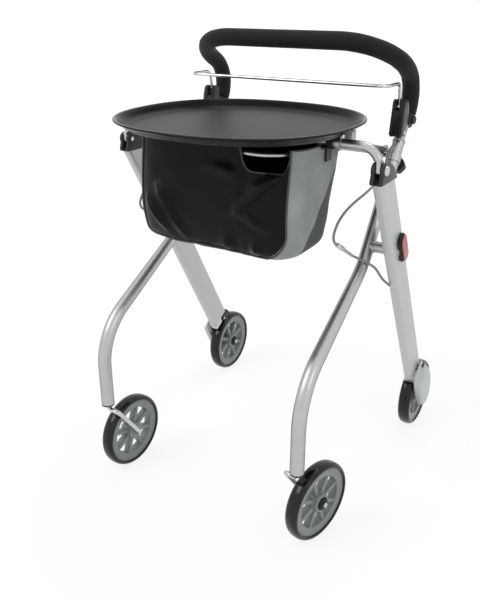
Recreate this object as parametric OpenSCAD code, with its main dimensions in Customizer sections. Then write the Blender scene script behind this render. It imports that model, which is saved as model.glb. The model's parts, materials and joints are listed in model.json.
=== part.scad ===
// Indoor walker: two bent front tubes on casters, two flat rear legs with braked wheels,
// a height-adjustable push handle with a brake bar, a folding tray frame, a tray and a bag.
// The front faces -Y, the user walks behind at +Y, and the floor is z = 0. Millimetres.

/* [Stance] */
// Front caster stems, in front of the origin
front_y = -273; // [-290:1:-255]
// From the caster stems back to the rear axle
wheelbase = 511; // [470:1:550]
// Between the two caster stems
stem_track = 416; // [400:1:430]
// Between the two upper tubes
upper_track = 408; // [402:1:416]
// From the upper tube's axis out to the middle of a rear leg
leg_out = 48; // [46:0.5:50]
// From the middle of a leg inward to the middle of its wheel
wheel_in = 3; // [1:0.5:4]

/* [Wheels] */
// Diameter over the tyre
wheel_d = 150; // [140:1:160]
// Width of the tyre
tyre_w = 26; // [22:1:27]
// Radial thickness of the tyre
tyre_h = 9; // [8:1:18]
// Radius of the tyre's shoulders
tyre_round = 7.5; // [4:0.5:8]
// Width of the rim
rim_w = 20; // [16:1:22]
// Radial thickness of the rim
rim_h = 16; // [6:1:20]
// Number of spokes
spoke_count = 8; // [5:1:10]
// Width of a spoke
spoke_w = 7; // [5:0.5:9]
// Length of a spoke along the axle
spoke_t = 14; // [8:1:18]
// Diameter of the hub
hub_d = 36; // [30:1:42]
// Length of the hub
hub_w = 28; // [27:1:30]
// Diameter of the hub cap
cap_d = 25; // [20:1:28]
// Height of the hub cap
cap_h = 7; // [5:0.5:9]
// Diameter of the bolt head on a hub cap
bolt_head_d = 11; // [8:0.5:13]

/* [Casters] */
// From the stem axis back to the wheel axle
caster_trail = 58; // [50:1:66]
// Diameter of the bent rod, which is the stem and the axle
rod_d = 9; // [7:0.5:10]
// Bend radius of the rod
rod_bend = 10; // [8:0.5:10.5]
// From the wheel's middle to the rod beside it
rod_side = 27; // [24:0.5:32]
// Turn of the right caster at rest
right_yaw = -13; // [-45:1:45]
// Turn of the left caster at rest, mirrored
left_yaw = 3; // [-45:1:45]
// Length of the rod inside the tube
rod_stem = 70; // [55:1:72]
// Height of a caster bush
bush_h = 22; // [15:1:30]
// Thickness of a bush flange
bush_flange = 3; // [2:0.5:5]

/* [Front tubes] */
// Diameter of the lower tube
tube_d = 25; // [23:0.5:27]
// From the handle tube to the outside of the upper tube
upper_wall = 1.5; // [1.4:0.1:2]
// Wall of the lower tube
tube_wall = 1.5; // [1:0.1:2]
// From the top of the wheel up to the end of the tube
stem_lift = 18; // [12:1:22]
// Height where the stem's and the incline's axes meet
stem_bend_z = 318; // [290:1:340]
// Bend radius over the caster
stem_bend_r = 120; // [90:1:125]
// From the stem back to the upper bend
incline_run = 243; // [220:1:260]
// Slope of the middle stretch
incline_a = 29.5; // [25:0.5:33]
// Slope of the upper stretch
upper_a = 55.3; // [53:0.1:58]
// Bend radius at the top of the incline
upper_bend_r = 120; // [80:1:140]
// From the upper bend up to the fold pivot
pivot_s = 42; // [38:1:60]
// From the fold pivot up to the end of the tube
top_s = 202; // [195:1:206]
// Diameter of the pivot stub
stub_d = 20; // [17:0.5:24]
// From the end of the tube down to the hook peg
peg_drop = 20; // [18:1:24]
// Diameter of the hook peg
peg_d = 10; // [8:0.5:12]
// From the end of the tube down to the height knob
knob_drop = 33; // [33:1:52]

/* [Handle] */
// Diameter of the handle tube
handle_d = 19; // [17:0.5:19]
// Wall of the handle tube
handle_wall = 1.5; // [1:0.1:2.5]
// From the pivot up to the lower end of the handle tube
handle_low_s = 50; // [40:1:70]
// From the end of the foam up to the rear corner of the handle
apex_up = 61; // [60:1:80]
// From the rear corner forward to the cross grip
handle_reach = 146; // [142:1:165]
// From the rear corner up to the cross grip
handle_rise = 79; // [65:1:85]
// Bend radius of the rear corner
apex_r = 53; // [40:1:53]
// Bend radius at the ends of the cross grip
loop_r = 95; // [80:1:98]
// Diameter of the foam grip
grip_d = 32; // [28:1:34]
// From the end of the tube up to the end of the foam
grip_up = 57; // [55:1:62]

/* [Brake lever] */
// Width of the lever housing
lever_w = 22; // [20:1:24]
// Depth of the lever housing
lever_t = 25; // [22:1:27]
// Length of the lever housing
lever_len = 67; // [60:1:70]
// Corner radius of the lever housing
lever_round = 6; // [3:0.5:8]
// From the tube axis inward to the middle of the housing
lever_in = 2; // [0:0.5:3]
// Width of the clamp ring on the handle tube
ring_w = 22; // [14:1:22]
// Wall of the clamp ring
ring_wall = 5.5; // [4:0.5:6]
// Thickness of the lever's side plate
plate_t = 3.5; // [2:0.5:5]
// Diameter of the clamp screw's head
screw_d = 15; // [10:0.5:17]
// Diameter of the brake bar's wire
wire_d = 6; // [5:0.5:7]
// Diameter of the barrel on the wire's end
barrel_d = 10; // [9:0.5:11]
// From the barrel up to the brake bar
bar_rise = 42; // [38:1:48]
// From the barrel forward to the brake bar
bar_reach = 75; // [65:1:86]
// Bend radius at the bar's front corners
bar_corner_r = 20; // [15:1:30]
// Bend radius over the lever housing
bar_bend_r = 14; // [10:1:18]
// From the tube axis inward to the leg of the brake bar
bar_in = 3; // [1:0.5:4]

/* [Height knobs] */
// Diameter of a knob
knob_d = 30; // [24:1:34]
// Thickness of a knob
knob_t = 16; // [12:1:20]
// Diameter of the knob's stem
knob_stem_d = 8; // [6:0.5:10]
// Width of the clamp collar
collar_w = 13; // [12:1:14]
// Length of the knob's threaded boss behind the collar
knob_boss = 10; // [4:1:14]
// Wall of the clamp collar
collar_wall = 2; // [1.5:0.5:3]

/* [Rear legs] */
// Thickness of the leg
leg_t = 18; // [16:0.5:19]
// Depth of the leg
leg_b = 56; // [50:1:60]
// Corner radius of the leg's section
leg_round = 7; // [4:0.5:8]
// Wall of the leg
leg_wall = 1.8; // [1.2:0.1:2.5]
// From the tyre up to the end of the leg
leg_gap = 19; // [18:1:24]
// From the pivot up to the clevis pin
clevis_rise = 195; // [190:1:200]
// From the leg's middle line forward to the clevis pin
clevis_fwd = 8; // [5:1:12]
// From the clevis pin down to the end of the leg profile
cap_drop = 31; // [29:1:36]
// Bulge of the leg cap behind its pin
cap_bulge = 8; // [4:1:10]
// Radius of the clevis cheeks
cheek_r = 12; // [10:0.5:12.5]
// Diameter of the clevis pin
pin_d = 8; // [6:0.5:9]
// Diameter of the pivot bolt
pivot_d = 10; // [8:0.5:12]
// Length of a reflector
reflector_l = 62; // [50:1:70]
// Width of a reflector
reflector_w = 28; // [22:1:30]
// Height of the reflector's housing
reflector_h = 6; // [4:0.5:8]
// Height of the reflector's lens
lens_h = 3; // [2:0.5:4]

/* [Rear brakes] */
// Thickness of the axle arm
arm_t = 3; // [2.5:0.5:4]
// Height of the brake cover's upper edge over the axle
cover_up = 104; // [98:1:110]
// How much lower the edge of its outer face is
cover_shoulder = 16; // [8:1:20]
// Width of the brake cover
cover_w = 62; // [54:1:66]
// Height of the brake cover
cover_h = 13; // [11:0.5:15]
// Wall of the brake cover
cover_wall = 2.4; // [1.8:0.2:3]
// Width of the brake shoe
shoe_w = 16; // [12:1:18]
// Gap between the shoe and the tyre
shoe_gap = 2.4; // [2.3:0.1:3]
// Diameter of the shoe's pin
shoe_pin_d = 6; // [5:0.5:7]

/* [Tray frame] */
// Diameter of the crossbar
bar_d = 15; // [13:0.5:16]
// From the clevis pins up to the crossbar
crossbar_rise = 35; // [34:1:42]
// Bend radius at the ends of the crossbar
crossbar_r = 33; // [26:1:34]
// Thickness of the flattened ends
tongue_t = 7; // [5:0.5:9]
// From the upper tube's axis inward to the middle of a rail
rail_gap = 21; // [20:0.5:23]
// Thickness of a rail
rail_t = 6; // [4:0.5:7]
// Wall of the rails' eyes round the crossbar
eye_wall = 4; // [3:0.5:5]
// Height of a rail at the crossbar
rail_front_h = 20; // [16:1:24]
// Height of a rail at its hook
rail_rear_h = 15; // [12:1:18]
// Radius of the hook
hook_r = 11; // [9:0.5:12]

/* [Tray] */
// From the middle of a rail out to the tray's edge
tray_over = 26; // [14:1:32]
// Half length of the tray
tray_b = 196; // [185:1:200]
// Roundness of the outline, where 2 is an ellipse
tray_n = 2.3; // [2:0.1:3]
// From the clevis pins back to the middle of the tray
tray_back = -5; // [-8:1:6]
// Height of the rim over the floor
rim_rise = 15; // [13:1:20]
// Width of the flared rim
flare_w = 22; // [18:1:30]
// Thickness of the tray
tray_wall = 2.4; // [1.8:0.2:3]
// Width of a tray lug
lug_w = 13; // [12:1:18]
// Length of a tray lug
lug_l = 18; // [16:1:28]
// From the crossbar back to the lugs
lug_back = 40; // [38:1:50]

/* [Bag] */
// Between the bag's mouth and a rail
bag_side = 18; // [16:1:35]
// How much narrower each side of the bag is at its bottom
bag_taper = 14; // [0:1:40]
// How far the rear of the bag slopes forward
bag_lean = 40; // [0:1:50]
// Round of the bag's bottom edge
bag_round = 20; // [8:1:24]
// Depth of the bag from its mouth
bag_h = 178; // [150:1:190]
// From the crossbar forward to the front rod of the bag
bag_front = 92; // [80:1:95]
// From the crossbar back to the rear bar of the bag
bag_back = 96; // [85:1:105]
// Thickness of the bag's cloth with its lining
bag_wall = 3; // [2:0.5:4]
// How far the bag's front bulges
bag_bulge = 12; // [0:1:18]
// Diameter of the bag's front rod
bag_rod_d = 8; // [6:0.5:10]
// Diameter of the bag's rear bar
bag_bar_d = 6; // [5:0.5:8]
// Width of a bag clip
clip_w = 11; // [8:1:13]
// From the bag's mouth down to the end of a clip
clip_drop = 22; // [16:1:28]

/* [Brake cables] */
// Diameter of the brake cable
cable_d = 4.5; // [4:0.1:5]
// Diameter of the inline adjuster
adjuster_d = 9; // [7:0.5:10]
// How far a cable reaches in front of the fold pivot
cable_loop = 145; // [130:1:150]

/* [Hidden] */
$fn = 48;
// Radial play of a pin or shaft that turns in its bore
run_clear = 0.1;
// Gap between fixed neighbours
seat = 0.1;
// Gap between pieces that pass each other
pass = 0.4;
// Straight stretches of a bent rod are this much thinner than its bends
step = 0.05;
// and reach this far into them
lap = 0.3;

axle_z = wheel_d / 2;
rear_y = front_y + wheelbase;
stem_x = stem_track / 2;
upper_x = upper_track / 2;
upper_d = handle_d + 2 * upper_wall;
leg_x = upper_x + leg_out;
rear_x = leg_x - wheel_in;
bar_x = upper_x - bar_in;
rail_x = upper_x - rail_gap;
peg_s = top_s - peg_drop;
knob_s = top_s - knob_drop;
grip_s = top_s + grip_up;
apex_s = grip_s + apex_up;
stem_z = wheel_d + stem_lift;
upper_dir = [0, cos(upper_a), sin(upper_a)];
back_dir = [0, sin(upper_a), -cos(upper_a)];
low_corner = [stem_x, front_y, stem_bend_z];
mid_corner = [upper_x, front_y + incline_run, stem_bend_z + incline_run * tan(incline_a)];
pivot = mid_corner + pivot_s * upper_dir;
tube_top = pivot + top_s * upper_dir;

leg_vec = [0, pivot[1] - rear_y, pivot[2] - axle_z];
leg_reach = norm(leg_vec);
leg_dir = leg_vec / leg_reach;
leg_tilt = atan2(-leg_dir[1], leg_dir[2]);
leg_low = axle_z + leg_gap;
pin_up = leg_reach + clevis_rise;
leg_high = pin_up - cap_drop;
leg_slope = tan(leg_tilt);
leg_outer = leg_x + leg_t / 2;
leg_inner = leg_x - leg_t / 2;
clevis_y = pivot[1] + clevis_rise * leg_dir[1] - clevis_fwd * leg_dir[2];
clevis_z = pivot[2] + clevis_rise * leg_dir[2] + clevis_fwd * leg_dir[1];
crossbar_z = clevis_z + crossbar_rise;

peg_at = pivot + peg_s * upper_dir;
rail_vec = [peg_at[1] - clevis_y, peg_at[2] - crossbar_z];
rail_run = norm(rail_vec);
rail_slope = atan2(rail_vec[1], rail_vec[0]);

tray_a = rail_x + tray_over;
tray_y = clevis_y + tray_back;
tray_under = crossbar_z + bar_d / 2 + eye_wall + pass;
tray_floor = tray_under + tray_wall;
tray_top = tray_floor + rim_rise;
rail_in = rail_x - rail_t / 2;

bag_half = rail_in - bag_side;
bag_mouth = crossbar_z - bar_d / 2 - pass;
bag_rod_z = bag_mouth - bag_rod_d / 2;
bag_rod_y = clevis_y - bag_front;
bag_bar_y = clevis_y + bag_back;
bag_bar_z = crossbar_z + bag_back * tan(rail_slope);
bag_bottom = bag_mouth - bag_h;
bag_lip_front = bag_rod_y - bag_rod_d / 2 - 3 * pass - bag_wall;
bag_lip_rear = bag_bar_y - bag_bar_d / 2 - pass;

// The lever housing leans forward from the handle tube
lever_lean = 26;
lever_foot = [0, -16.4, top_s + 1.6];
ring_s = grip_s - ring_w / 2 - pass;
barrel_up = lever_len - 14;
barrel_back = lever_foot[1] - barrel_up * sin(lever_lean);
barrel_s = lever_foot[2] + barrel_up * cos(lever_lean);
barrel_at = pivot + barrel_s * upper_dir + barrel_back * back_dir;

arm_in = rear_x + tyre_w / 2 + 1.5;
arm_out = arm_in + arm_t;
shoe_at = [8, wheel_d / 2 + 11.5];

// Brake cable of the right side, from the lever housing to the adjuster, from the pivot on
lever_dir = cos(lever_lean) * upper_dir - sin(lever_lean) * back_dir;
lever_back = sin(lever_lean) * upper_dir + cos(lever_lean) * back_dir;
cable_top = pivot + lever_foot[2] * upper_dir + lever_foot[1] * back_dir - [lever_in, 0, 0]
    - 0.5 * lever_dir - 5 * lever_back;
function on_loop(points) = [for (p = points) pivot + p * cable_loop / 145];
upper_route = concat([cable_top, cable_top - 12 * lever_dir], on_loop([[-6, 82.5, 154], [-6, 64, 123.5],
    [-6, 33, 108], [-6, -15, 100], [-6, -65, 95], [-6, -103, 88], [-6, -131, 76], [-6, -145, 59],
    [-5, -142, 46], [-4, -133, 40]]));
// The adjuster, from its upper to its lower end
adjuster_ends = on_loop([[-4, -133, 40], [-4, -63, -1]]);
// Brake cable from the adjuster to the front edge of the rear leg
lower_end = pivot - 0.44 * cable_loop * leg_dir
    + (leg_b / 2 + cable_d / 2 + 0.5) * [0, -leg_dir[2], leg_dir[1]];
lower_route = concat(on_loop([[-4, -63, -1], [0, -46, -10], [9, -33, -19], [22, -18, -33]]),
    [lower_end + [leg_out * 2 / 3, -9, 14], lower_end + [leg_out - 4, 0, 0]]);

// Helpers: places, rods and lofts
function unit(v) = v / norm(v);
function flip_x(points) = [for (p = points) [-p[0], p[1], p[2]]];
function turn_angle(a, b, c) = acos(unit(a - b) * unit(c - b));
function tangent(a, b, c, r) = r / tan(turn_angle(a, b, c) / 2);

module on_side(side) {
    if (side > 0) children();
    else mirror([1, 0, 0]) children();
}

// x across from the tube axis, y square to it to the rear, z up the tube from the pivot
module on_tube(side) {
    on_side(side)
        translate(pivot)
            rotate([upper_a - 90, 0, 0])
                children();
}

// x from the centre plane, y to the rear of the leg, z up the leg from the axle
module on_leg(side) {
    on_side(side)
        translate([0, rear_y, axle_z])
            rotate([leg_tilt, 0, 0])
                children();
}

// x along the wheel axle, y along the trail, z up from the floor
module on_caster(side) {
    on_side(side)
        translate([stem_x, front_y, 0])
            rotate([0, 0, side > 0 ? right_yaw : left_yaw])
                children();
}

// A profile drawn in Y and Z, between two places along X
module plate_x(x0, x1) {
    translate([x0, 0, 0])
        rotate([90, 0, 90])
            linear_extrude(x1 - x0)
                children();
}

module rod_x(x0, x1, r, y = 0, z = 0) {
    translate([x0, y, z])
        rotate([0, 90, 0])
            cylinder(h = x1 - x0, r = r);
}

module rod_between(p, q, r1, r2) {
    v = q - p;
    translate(p)
        rotate([0, acos(v[2] / norm(v)), atan2(v[1], v[0])])
            cylinder(h = norm(v), r1 = r1, r2 = r2);
}

// Quarter-like bend of a rod where the lines a-b and b-c meet
module bend(a, b, c, bend_r, r) {
    back = unit(a - b);
    ahead = unit(c - b);
    inside = turn_angle(a, b, c);
    centre = b + unit(back + ahead) * bend_r / sin(inside / 2);
    first = unit(b + back * tangent(a, b, c, bend_r) - centre);
    normal = cross(first, -back);
    multmatrix([[first[0], -back[0], normal[0], centre[0]],
                [first[1], -back[1], normal[1], centre[1]],
                [first[2], -back[2], normal[2], centre[2]],
                [0, 0, 0, 1]])
        rotate_extrude(angle = 180 - inside)
            translate([bend_r, 0])
                circle(r = r);
}

// Rod along straight stretches with a bend at each inner point
module bent_rod(points, bends, r) {
    last = len(points) - 1;
    for (i = [0 : last - 1]) {
        a = points[i];
        b = points[i + 1];
        cut_a = i == 0 ? 0 : tangent(points[i - 1], a, b, bends[i - 1]) - lap;
        cut_b = i == last - 1 ? 0 : tangent(a, b, points[i + 2], bends[i]) - lap;
        rod_between(a + unit(b - a) * cut_a, b - unit(b - a) * cut_b, r - step, r - step);
    }
    for (i = [1 : last - 1])
        bend(points[i - 1], points[i], points[i + 1], bends[i - 1], r);
}

// Rectangle with round corners, from exact circles and squares
module round_rect(w, h, r) {
    square([w - 2 * r, h], center = true);
    square([w, h - 2 * r], center = true);
    for (x = [-1, 1], y = [-1, 1])
        translate([x * (w / 2 - r), y * (h / 2 - r)])
            circle(r = r);
}

// Closed solid through rings with the same number of points
module loft(rings) {
    n = len(rings[0]);
    last = len(rings) - 1;
    points = [for (ring = rings) for (p = ring) p];
    sides = [for (i = [0 : last - 1]) for (k = [0 : n - 1]) each [
        [i * n + k, (i + 1) * n + k, (i + 1) * n + (k + 1) % n],
        [i * n + k, (i + 1) * n + (k + 1) % n, i * n + (k + 1) % n]]];
    foot = [for (k = [1 : n - 2]) [0, k, k + 1]];
    head = [for (k = [1 : n - 2]) [last * n, last * n + k + 1, last * n + k]];
    polyhedron(points = points, faces = concat(sides, foot, head), convexity = 6);
}

function power(v, e) = sign(v) * pow(abs(v), e);
function oval(a, b, n, y, z, count) = [for (k = [0 : count - 1])
    [a * power(cos(k * 360 / count), 2 / n), y + b * power(sin(k * 360 / count), 2 / n), z]];

// Tube swept along a route, one ring of points per route point
function route_dir(route, i) = unit(route[min(i + 1, len(route) - 1)] - route[max(i - 1, 0)]);
function ring_at(p, d, r, sides) = let (u = unit(cross(d, [1, 0, 0.2])), v = cross(d, u))
    [for (k = [0 : sides - 1]) p + r * (u * cos(k * 360 / sides) + v * sin(k * 360 / sides))];
module cable(route) {
    loft([for (i = [0 : len(route) - 1]) ring_at(route[i], route_dir(route, i), cable_d / 2, 10)]);
}

// Wheel pieces, with the axle along x and the wheel's middle at the origin
module tyre() {
    r = wheel_d / 2;
    color("#161616")
        rotate([0, 90, 0])
            rotate_extrude()
                intersection() {
                    translate([r - tyre_h, -tyre_w / 2]) square([tyre_h, tyre_w]);
                    translate([r - tyre_h, 0]) round_rect(2 * tyre_h, tyre_w, tyre_round);
                }
}

module rim() {
    outer = wheel_d / 2 - tyre_h - seat;
    color("#8d9492")
        rotate([0, 90, 0])
            difference() {
                union() {
                    difference() {
                        cylinder(h = rim_w, r = outer, center = true);
                        cylinder(h = rim_w + 2, r = outer - rim_h, center = true);
                    }
                    cylinder(h = hub_w, d = hub_d, center = true);
                    for (k = [0 : spoke_count - 1])
                        rotate([0, 0, k * 360 / spoke_count])
                            translate([hub_d / 4, -spoke_w / 2, -spoke_t / 2])
                                cube([outer - rim_h / 2 - hub_d / 4, spoke_w, spoke_t]);
                }
                cylinder(h = hub_w + 2, r = rod_d / 2 + run_clear - step, center = true);
            }
}

// Domed cap with a bolt head, on the +x face of the hub
module hub_cap() {
    color("#2b2b2d")
        translate([hub_w / 2 + seat, 0, 0])
            rotate([0, 90, 0])
                difference() {
                    union() {
                        cylinder(h = cap_h * 0.5, d = cap_d);
                        translate([0, 0, cap_h * 0.5])
                            cylinder(h = cap_h * 0.5, d1 = cap_d, d2 = cap_d * 0.8);
                        cylinder(h = cap_h + 1.5, d = bolt_head_d);
                    }
                    translate([0, 0, -1]) cylinder(h = cap_h * 0.5 + 1, r = rod_d / 2 + run_clear - step);
                }
}

module at_front_wheel(side) {
    on_caster(side)
        translate([0, caster_trail, axle_z])
            children();
}

// The rear hub caps face inward
module at_rear_wheel(side) {
    on_side(side)
        translate([rear_x, rear_y, axle_z])
            rotate([0, 0, 180])
                children();
}

// Casters
module caster_rod(side) {
    color("#b9bcc0")
        on_caster(side)
            bent_rod([[0, 0, stem_z + rod_stem], [0, 0, stem_z - bush_flange - rod_bend - 0.5],
                [-rod_side, 0, stem_z - bush_flange - rod_bend - 0.5], [-rod_side, caster_trail, axle_z],
                [hub_w / 2 + cap_h * 0.4, caster_trail, axle_z]],
                [rod_bend, rod_bend, rod_bend], rod_d / 2);
}

module caster_bushes() {
    bore = rod_d / 2 + run_clear - step;
    sleeve = tube_d / 2 - tube_wall - seat;
    color("#1d1d1d")
        for (side = [-1, 1])
            on_side(side)
                translate([stem_x, front_y, stem_z])
                    difference() {
                        union() {
                            translate([0, 0, -bush_flange]) cylinder(h = bush_flange, d = tube_d);
                            cylinder(h = bush_h, r = sleeve);
                            translate([0, 0, rod_stem - bush_h]) cylinder(h = bush_h, r = sleeve);
                        }
                        translate([0, 0, -bush_flange - 1])
                            cylinder(h = rod_stem + bush_flange + 2, r = bore);
                    }
}

// Front tubes: stem, bend, tapering incline, bend and straight upper stretch
module front_tube(side) {
    foot = [stem_x, front_y, stem_z];
    low_cut = tangent(foot, low_corner, mid_corner, stem_bend_r) - lap;
    mid_cut = tangent(low_corner, mid_corner, tube_top, upper_bend_r) - lap;
    slope = unit(mid_corner - low_corner);
    stub_out = leg_inner - 2.4;
    color("#aeb2b5")
        on_side(side)
            difference() {
                union() {
                    rod_between(foot, low_corner - [0, 0, low_cut], tube_d / 2 - step, tube_d / 2 - step);
                    bend(foot, low_corner, mid_corner, stem_bend_r, tube_d / 2);
                    rod_between(low_corner + slope * low_cut, mid_corner - slope * mid_cut,
                        tube_d / 2 - step, upper_d / 2 - step);
                    bend(low_corner, mid_corner, tube_top, upper_bend_r, upper_d / 2);
                    rod_between(mid_corner + upper_dir * mid_cut, tube_top,
                        upper_d / 2 - step, upper_d / 2 - step);
                    translate(pivot + [1, 0, 0])
                        rotate([0, 90, 0])
                            rotate([0, 0, 40])
                                cylinder(h = stub_out - upper_x - 1, r = stub_d / 2);
                }
                translate(foot - [0, 0, 1])
                    cylinder(h = rod_stem + 6, r = tube_d / 2 - tube_wall);
                rod_between(pivot + (handle_low_s - 4) * upper_dir, tube_top + 2 * upper_dir,
                    handle_d / 2 + run_clear - step, handle_d / 2 + run_clear - step);
                translate(pivot + [upper_d / 2 + 2, 0, 0])
                    rotate([0, 90, 0])
                        cylinder(h = leg_inner - upper_x, r = pivot_d / 2 + run_clear);
            }
}

module tube_end_bushes() {
    color("#1d1d1d")
        for (side = [-1, 1])
            on_tube(side)
                translate([0, 0, top_s + 0.05])
                    difference() {
                        cylinder(h = 3, d = upper_d + 2);
                        translate([0, 0, -1]) cylinder(h = 5, r = handle_d / 2 + run_clear - step);
                    }
}

// Collar with a threaded boss behind the tube, for the height knob
module clamp_collars() {
    outer = upper_d / 2 + collar_wall;
    color("#1d1d1d")
        for (side = [-1, 1])
            on_tube(side)
                translate([0, 0, knob_s])
                    difference() {
                        union() {
                            cylinder(h = collar_w, r = outer, center = true);
                            rotate([-90, 0, 0]) cylinder(h = outer + knob_boss, d = knob_stem_d + 6);
                        }
                        cylinder(h = collar_w + 2, r = upper_d / 2 + 0.05, center = true);
                        rotate([-90, 0, 0])
                            cylinder(h = outer + knob_boss + 2, r = knob_stem_d / 2 + run_clear);
                    }
}

module height_knob(side) {
    seat_y = upper_d / 2 + collar_wall + knob_boss + pass;
    lobes = 6;
    color("#222222")
        on_tube(side)
            translate([0, upper_d / 2 + 0.5, knob_s])
                rotate([-90, 0, 0]) {
                    cylinder(h = seat_y - upper_d / 2 + 1, d = knob_stem_d);
                    translate([0, 0, seat_y - upper_d / 2 - 0.5])
                        difference() {
                            cylinder(h = knob_t, d = knob_d);
                            for (k = [0 : lobes - 1])
                                rotate([0, 0, k * 360 / lobes])
                                    translate([knob_d / 2 + 3, 0, -1])
                                        cylinder(h = knob_t + 2, r = 5);
                        }
                }
}

module hook_pegs() {
    start = rail_in - 1;
    color("#9b9fa2")
        for (side = [-1, 1])
            on_side(side)
                difference() {
                    rod_x(start, upper_x, peg_d / 2, peg_at[1], peg_at[2]);
                    rod_between(pivot, tube_top, upper_d / 2 + 0.02, upper_d / 2 + 0.02);
                }
}

// Handle
function handle_points() = let (low = pivot + handle_low_s * upper_dir, apex = pivot + apex_s * upper_dir,
    grip = apex + [0, -handle_reach, handle_rise])
    [low, apex, grip, [-grip[0], grip[1], grip[2]], [-apex[0], apex[1], apex[2]], [-low[0], low[1], low[2]]];
handle_bends = [apex_r, loop_r, loop_r, apex_r];

module handle_tube() {
    color("#b4b8bb")
        difference() {
            bent_rod(handle_points(), handle_bends, handle_d / 2);
            for (side = [-1, 1])
                on_tube(side)
                    translate([0, 0, handle_low_s - 1])
                        cylinder(h = grip_s - handle_low_s, r = handle_d / 2 - handle_wall);
        }
}

module handle_grip() {
    color("#2f3030")
        difference() {
            bent_rod(handle_points(), handle_bends, grip_d / 2);
            bent_rod(handle_points(), handle_bends, handle_d / 2 + seat);
            for (side = [-1, 1])
                on_tube(side)
                    translate([0, 0, handle_low_s - 30])
                        cylinder(h = grip_s - handle_low_s + 30, d = grip_d + 4);
        }
}

// x from the middle of the housing, y to its rear, z up from its foot
module in_lever() {
    translate([-lever_in, 0, 0] + lever_foot)
        rotate([lever_lean, 0, 0])
            children();
}

module lever_housing(side) {
    wide = lever_w / 2 - lever_round;
    deep = lever_t / 2 - lever_round;
    bore = handle_d / 2 + seat;
    color("#1c1c1d")
        on_tube(side)
            difference() {
                union() {
                    in_lever()
                        hull()
                            for (x = [-wide, wide], y = [-deep, deep],
                                z = [lever_round, lever_len - lever_round])
                                translate([x, y, z])
                                    sphere(r = lever_round, $fn = 20);
                    translate([0, 0, ring_s]) cylinder(h = ring_w, r = bore + ring_wall, center = true);
                    translate([-lever_in, -grip_d / 2 - 2, ring_s])
                        cube([lever_w * 0.6, grip_d - 4, ring_w * 0.8], center = true);
                }
                translate([0, 0, handle_low_s]) cylinder(h = grip_s - handle_low_s + 10, r = bore);
                translate([0, 0, grip_s - pass]) cylinder(h = lever_len, d = grip_d + 2 * pass);
                in_lever() {
                    translate([lever_in - bar_in, 0, barrel_up]) {
                        rod_x(-lever_w / 2 + 4, lever_w / 2 - 4, barrel_d / 2 + run_clear);
                        translate([-wire_d / 2 - pass, -lever_t / 2 + 2, 0])
                            cube([wire_d + 2 * pass, lever_t / 2 + wire_d / 2 + 1, lever_len]);
                    }
                }
            }
}

// Side plates over the outer faces of the lever housings
module lever_plates() {
    trim = 3;
    color("#55585b")
        for (side = [-1, 1])
            on_tube(side)
                difference() {
                    in_lever()
                        plate_x(lever_w / 2 + seat, lever_w / 2 + seat + plate_t)
                            translate([0, lever_len / 2])
                                round_rect(lever_t - trim, lever_len - trim, lever_t / 2 - trim);
                    translate([0, 0, ring_s])
                        cylinder(h = ring_w + 1, r = handle_d / 2 + ring_wall + 2 * seat, center = true);
                    translate([0, 0, handle_low_s])
                        cylinder(h = grip_s - handle_low_s, r = handle_d / 2 + pass);
                    translate([0, 0, grip_s - pass]) cylinder(h = lever_len, d = grip_d + 2 * pass);
                }
}

module clamp_screws() {
    face = handle_d / 2 + ring_wall;
    color("#3a3c3e")
        for (side = [-1, 1])
            on_tube(side)
                translate([0, 0, ring_s]) {
                    difference() {
                        rod_x(face - 4, face + 4, screw_d / 2);
                        cylinder(h = ring_w + 2, r = face + seat * 2, center = true);
                        rod_x(face + 2, face + 5, screw_d / 4);
                    }
                }
}

module brake_bar() {
    corner = [bar_x, barrel_at[1] - 8, barrel_at[2] + bar_rise];
    front = [bar_x, barrel_at[1] - bar_reach, barrel_at[2] + bar_rise + 1];
    foot = [bar_x, barrel_at[1], barrel_at[2]];
    points = concat([foot, corner, front], flip_x([front, corner, foot]));
    color("#c9cccf") {
        bent_rod(points, [bar_bend_r, bar_corner_r, bar_corner_r, bar_bend_r], wire_d / 2);
        for (side = [-1, 1])
            on_side(side)
                translate(foot)
                    rod_x(-lever_w / 2 + 4.5, lever_w / 2 - 4.5, barrel_d / 2);
    }
}

// Rear legs
function leg_end(y) = [y, leg_high - y * leg_slope];
module rear_leg(side) {
    color("#c3c6c8")
        on_leg(side)
            difference() {
                translate([leg_x, 0, leg_low])
                    linear_extrude(leg_high + leg_b - leg_low)
                        round_rect(leg_t, leg_b, leg_round);
                translate([leg_x, 0, leg_low - 1])
                    linear_extrude(leg_high + leg_b - leg_low + 2)
                        round_rect(leg_t - 2 * leg_wall, leg_b - 2 * leg_wall, leg_round - leg_wall);
                plate_x(leg_inner - 1, leg_outer + 1)
                    polygon([leg_end(-leg_b), leg_end(leg_b), [leg_b, leg_high + 2 * leg_b],
                        [-leg_b, leg_high + 2 * leg_b]]);
                rod_x(leg_inner - 1, leg_outer + 1, pivot_d / 2 + seat, 0, leg_reach);
            }
}

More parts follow.
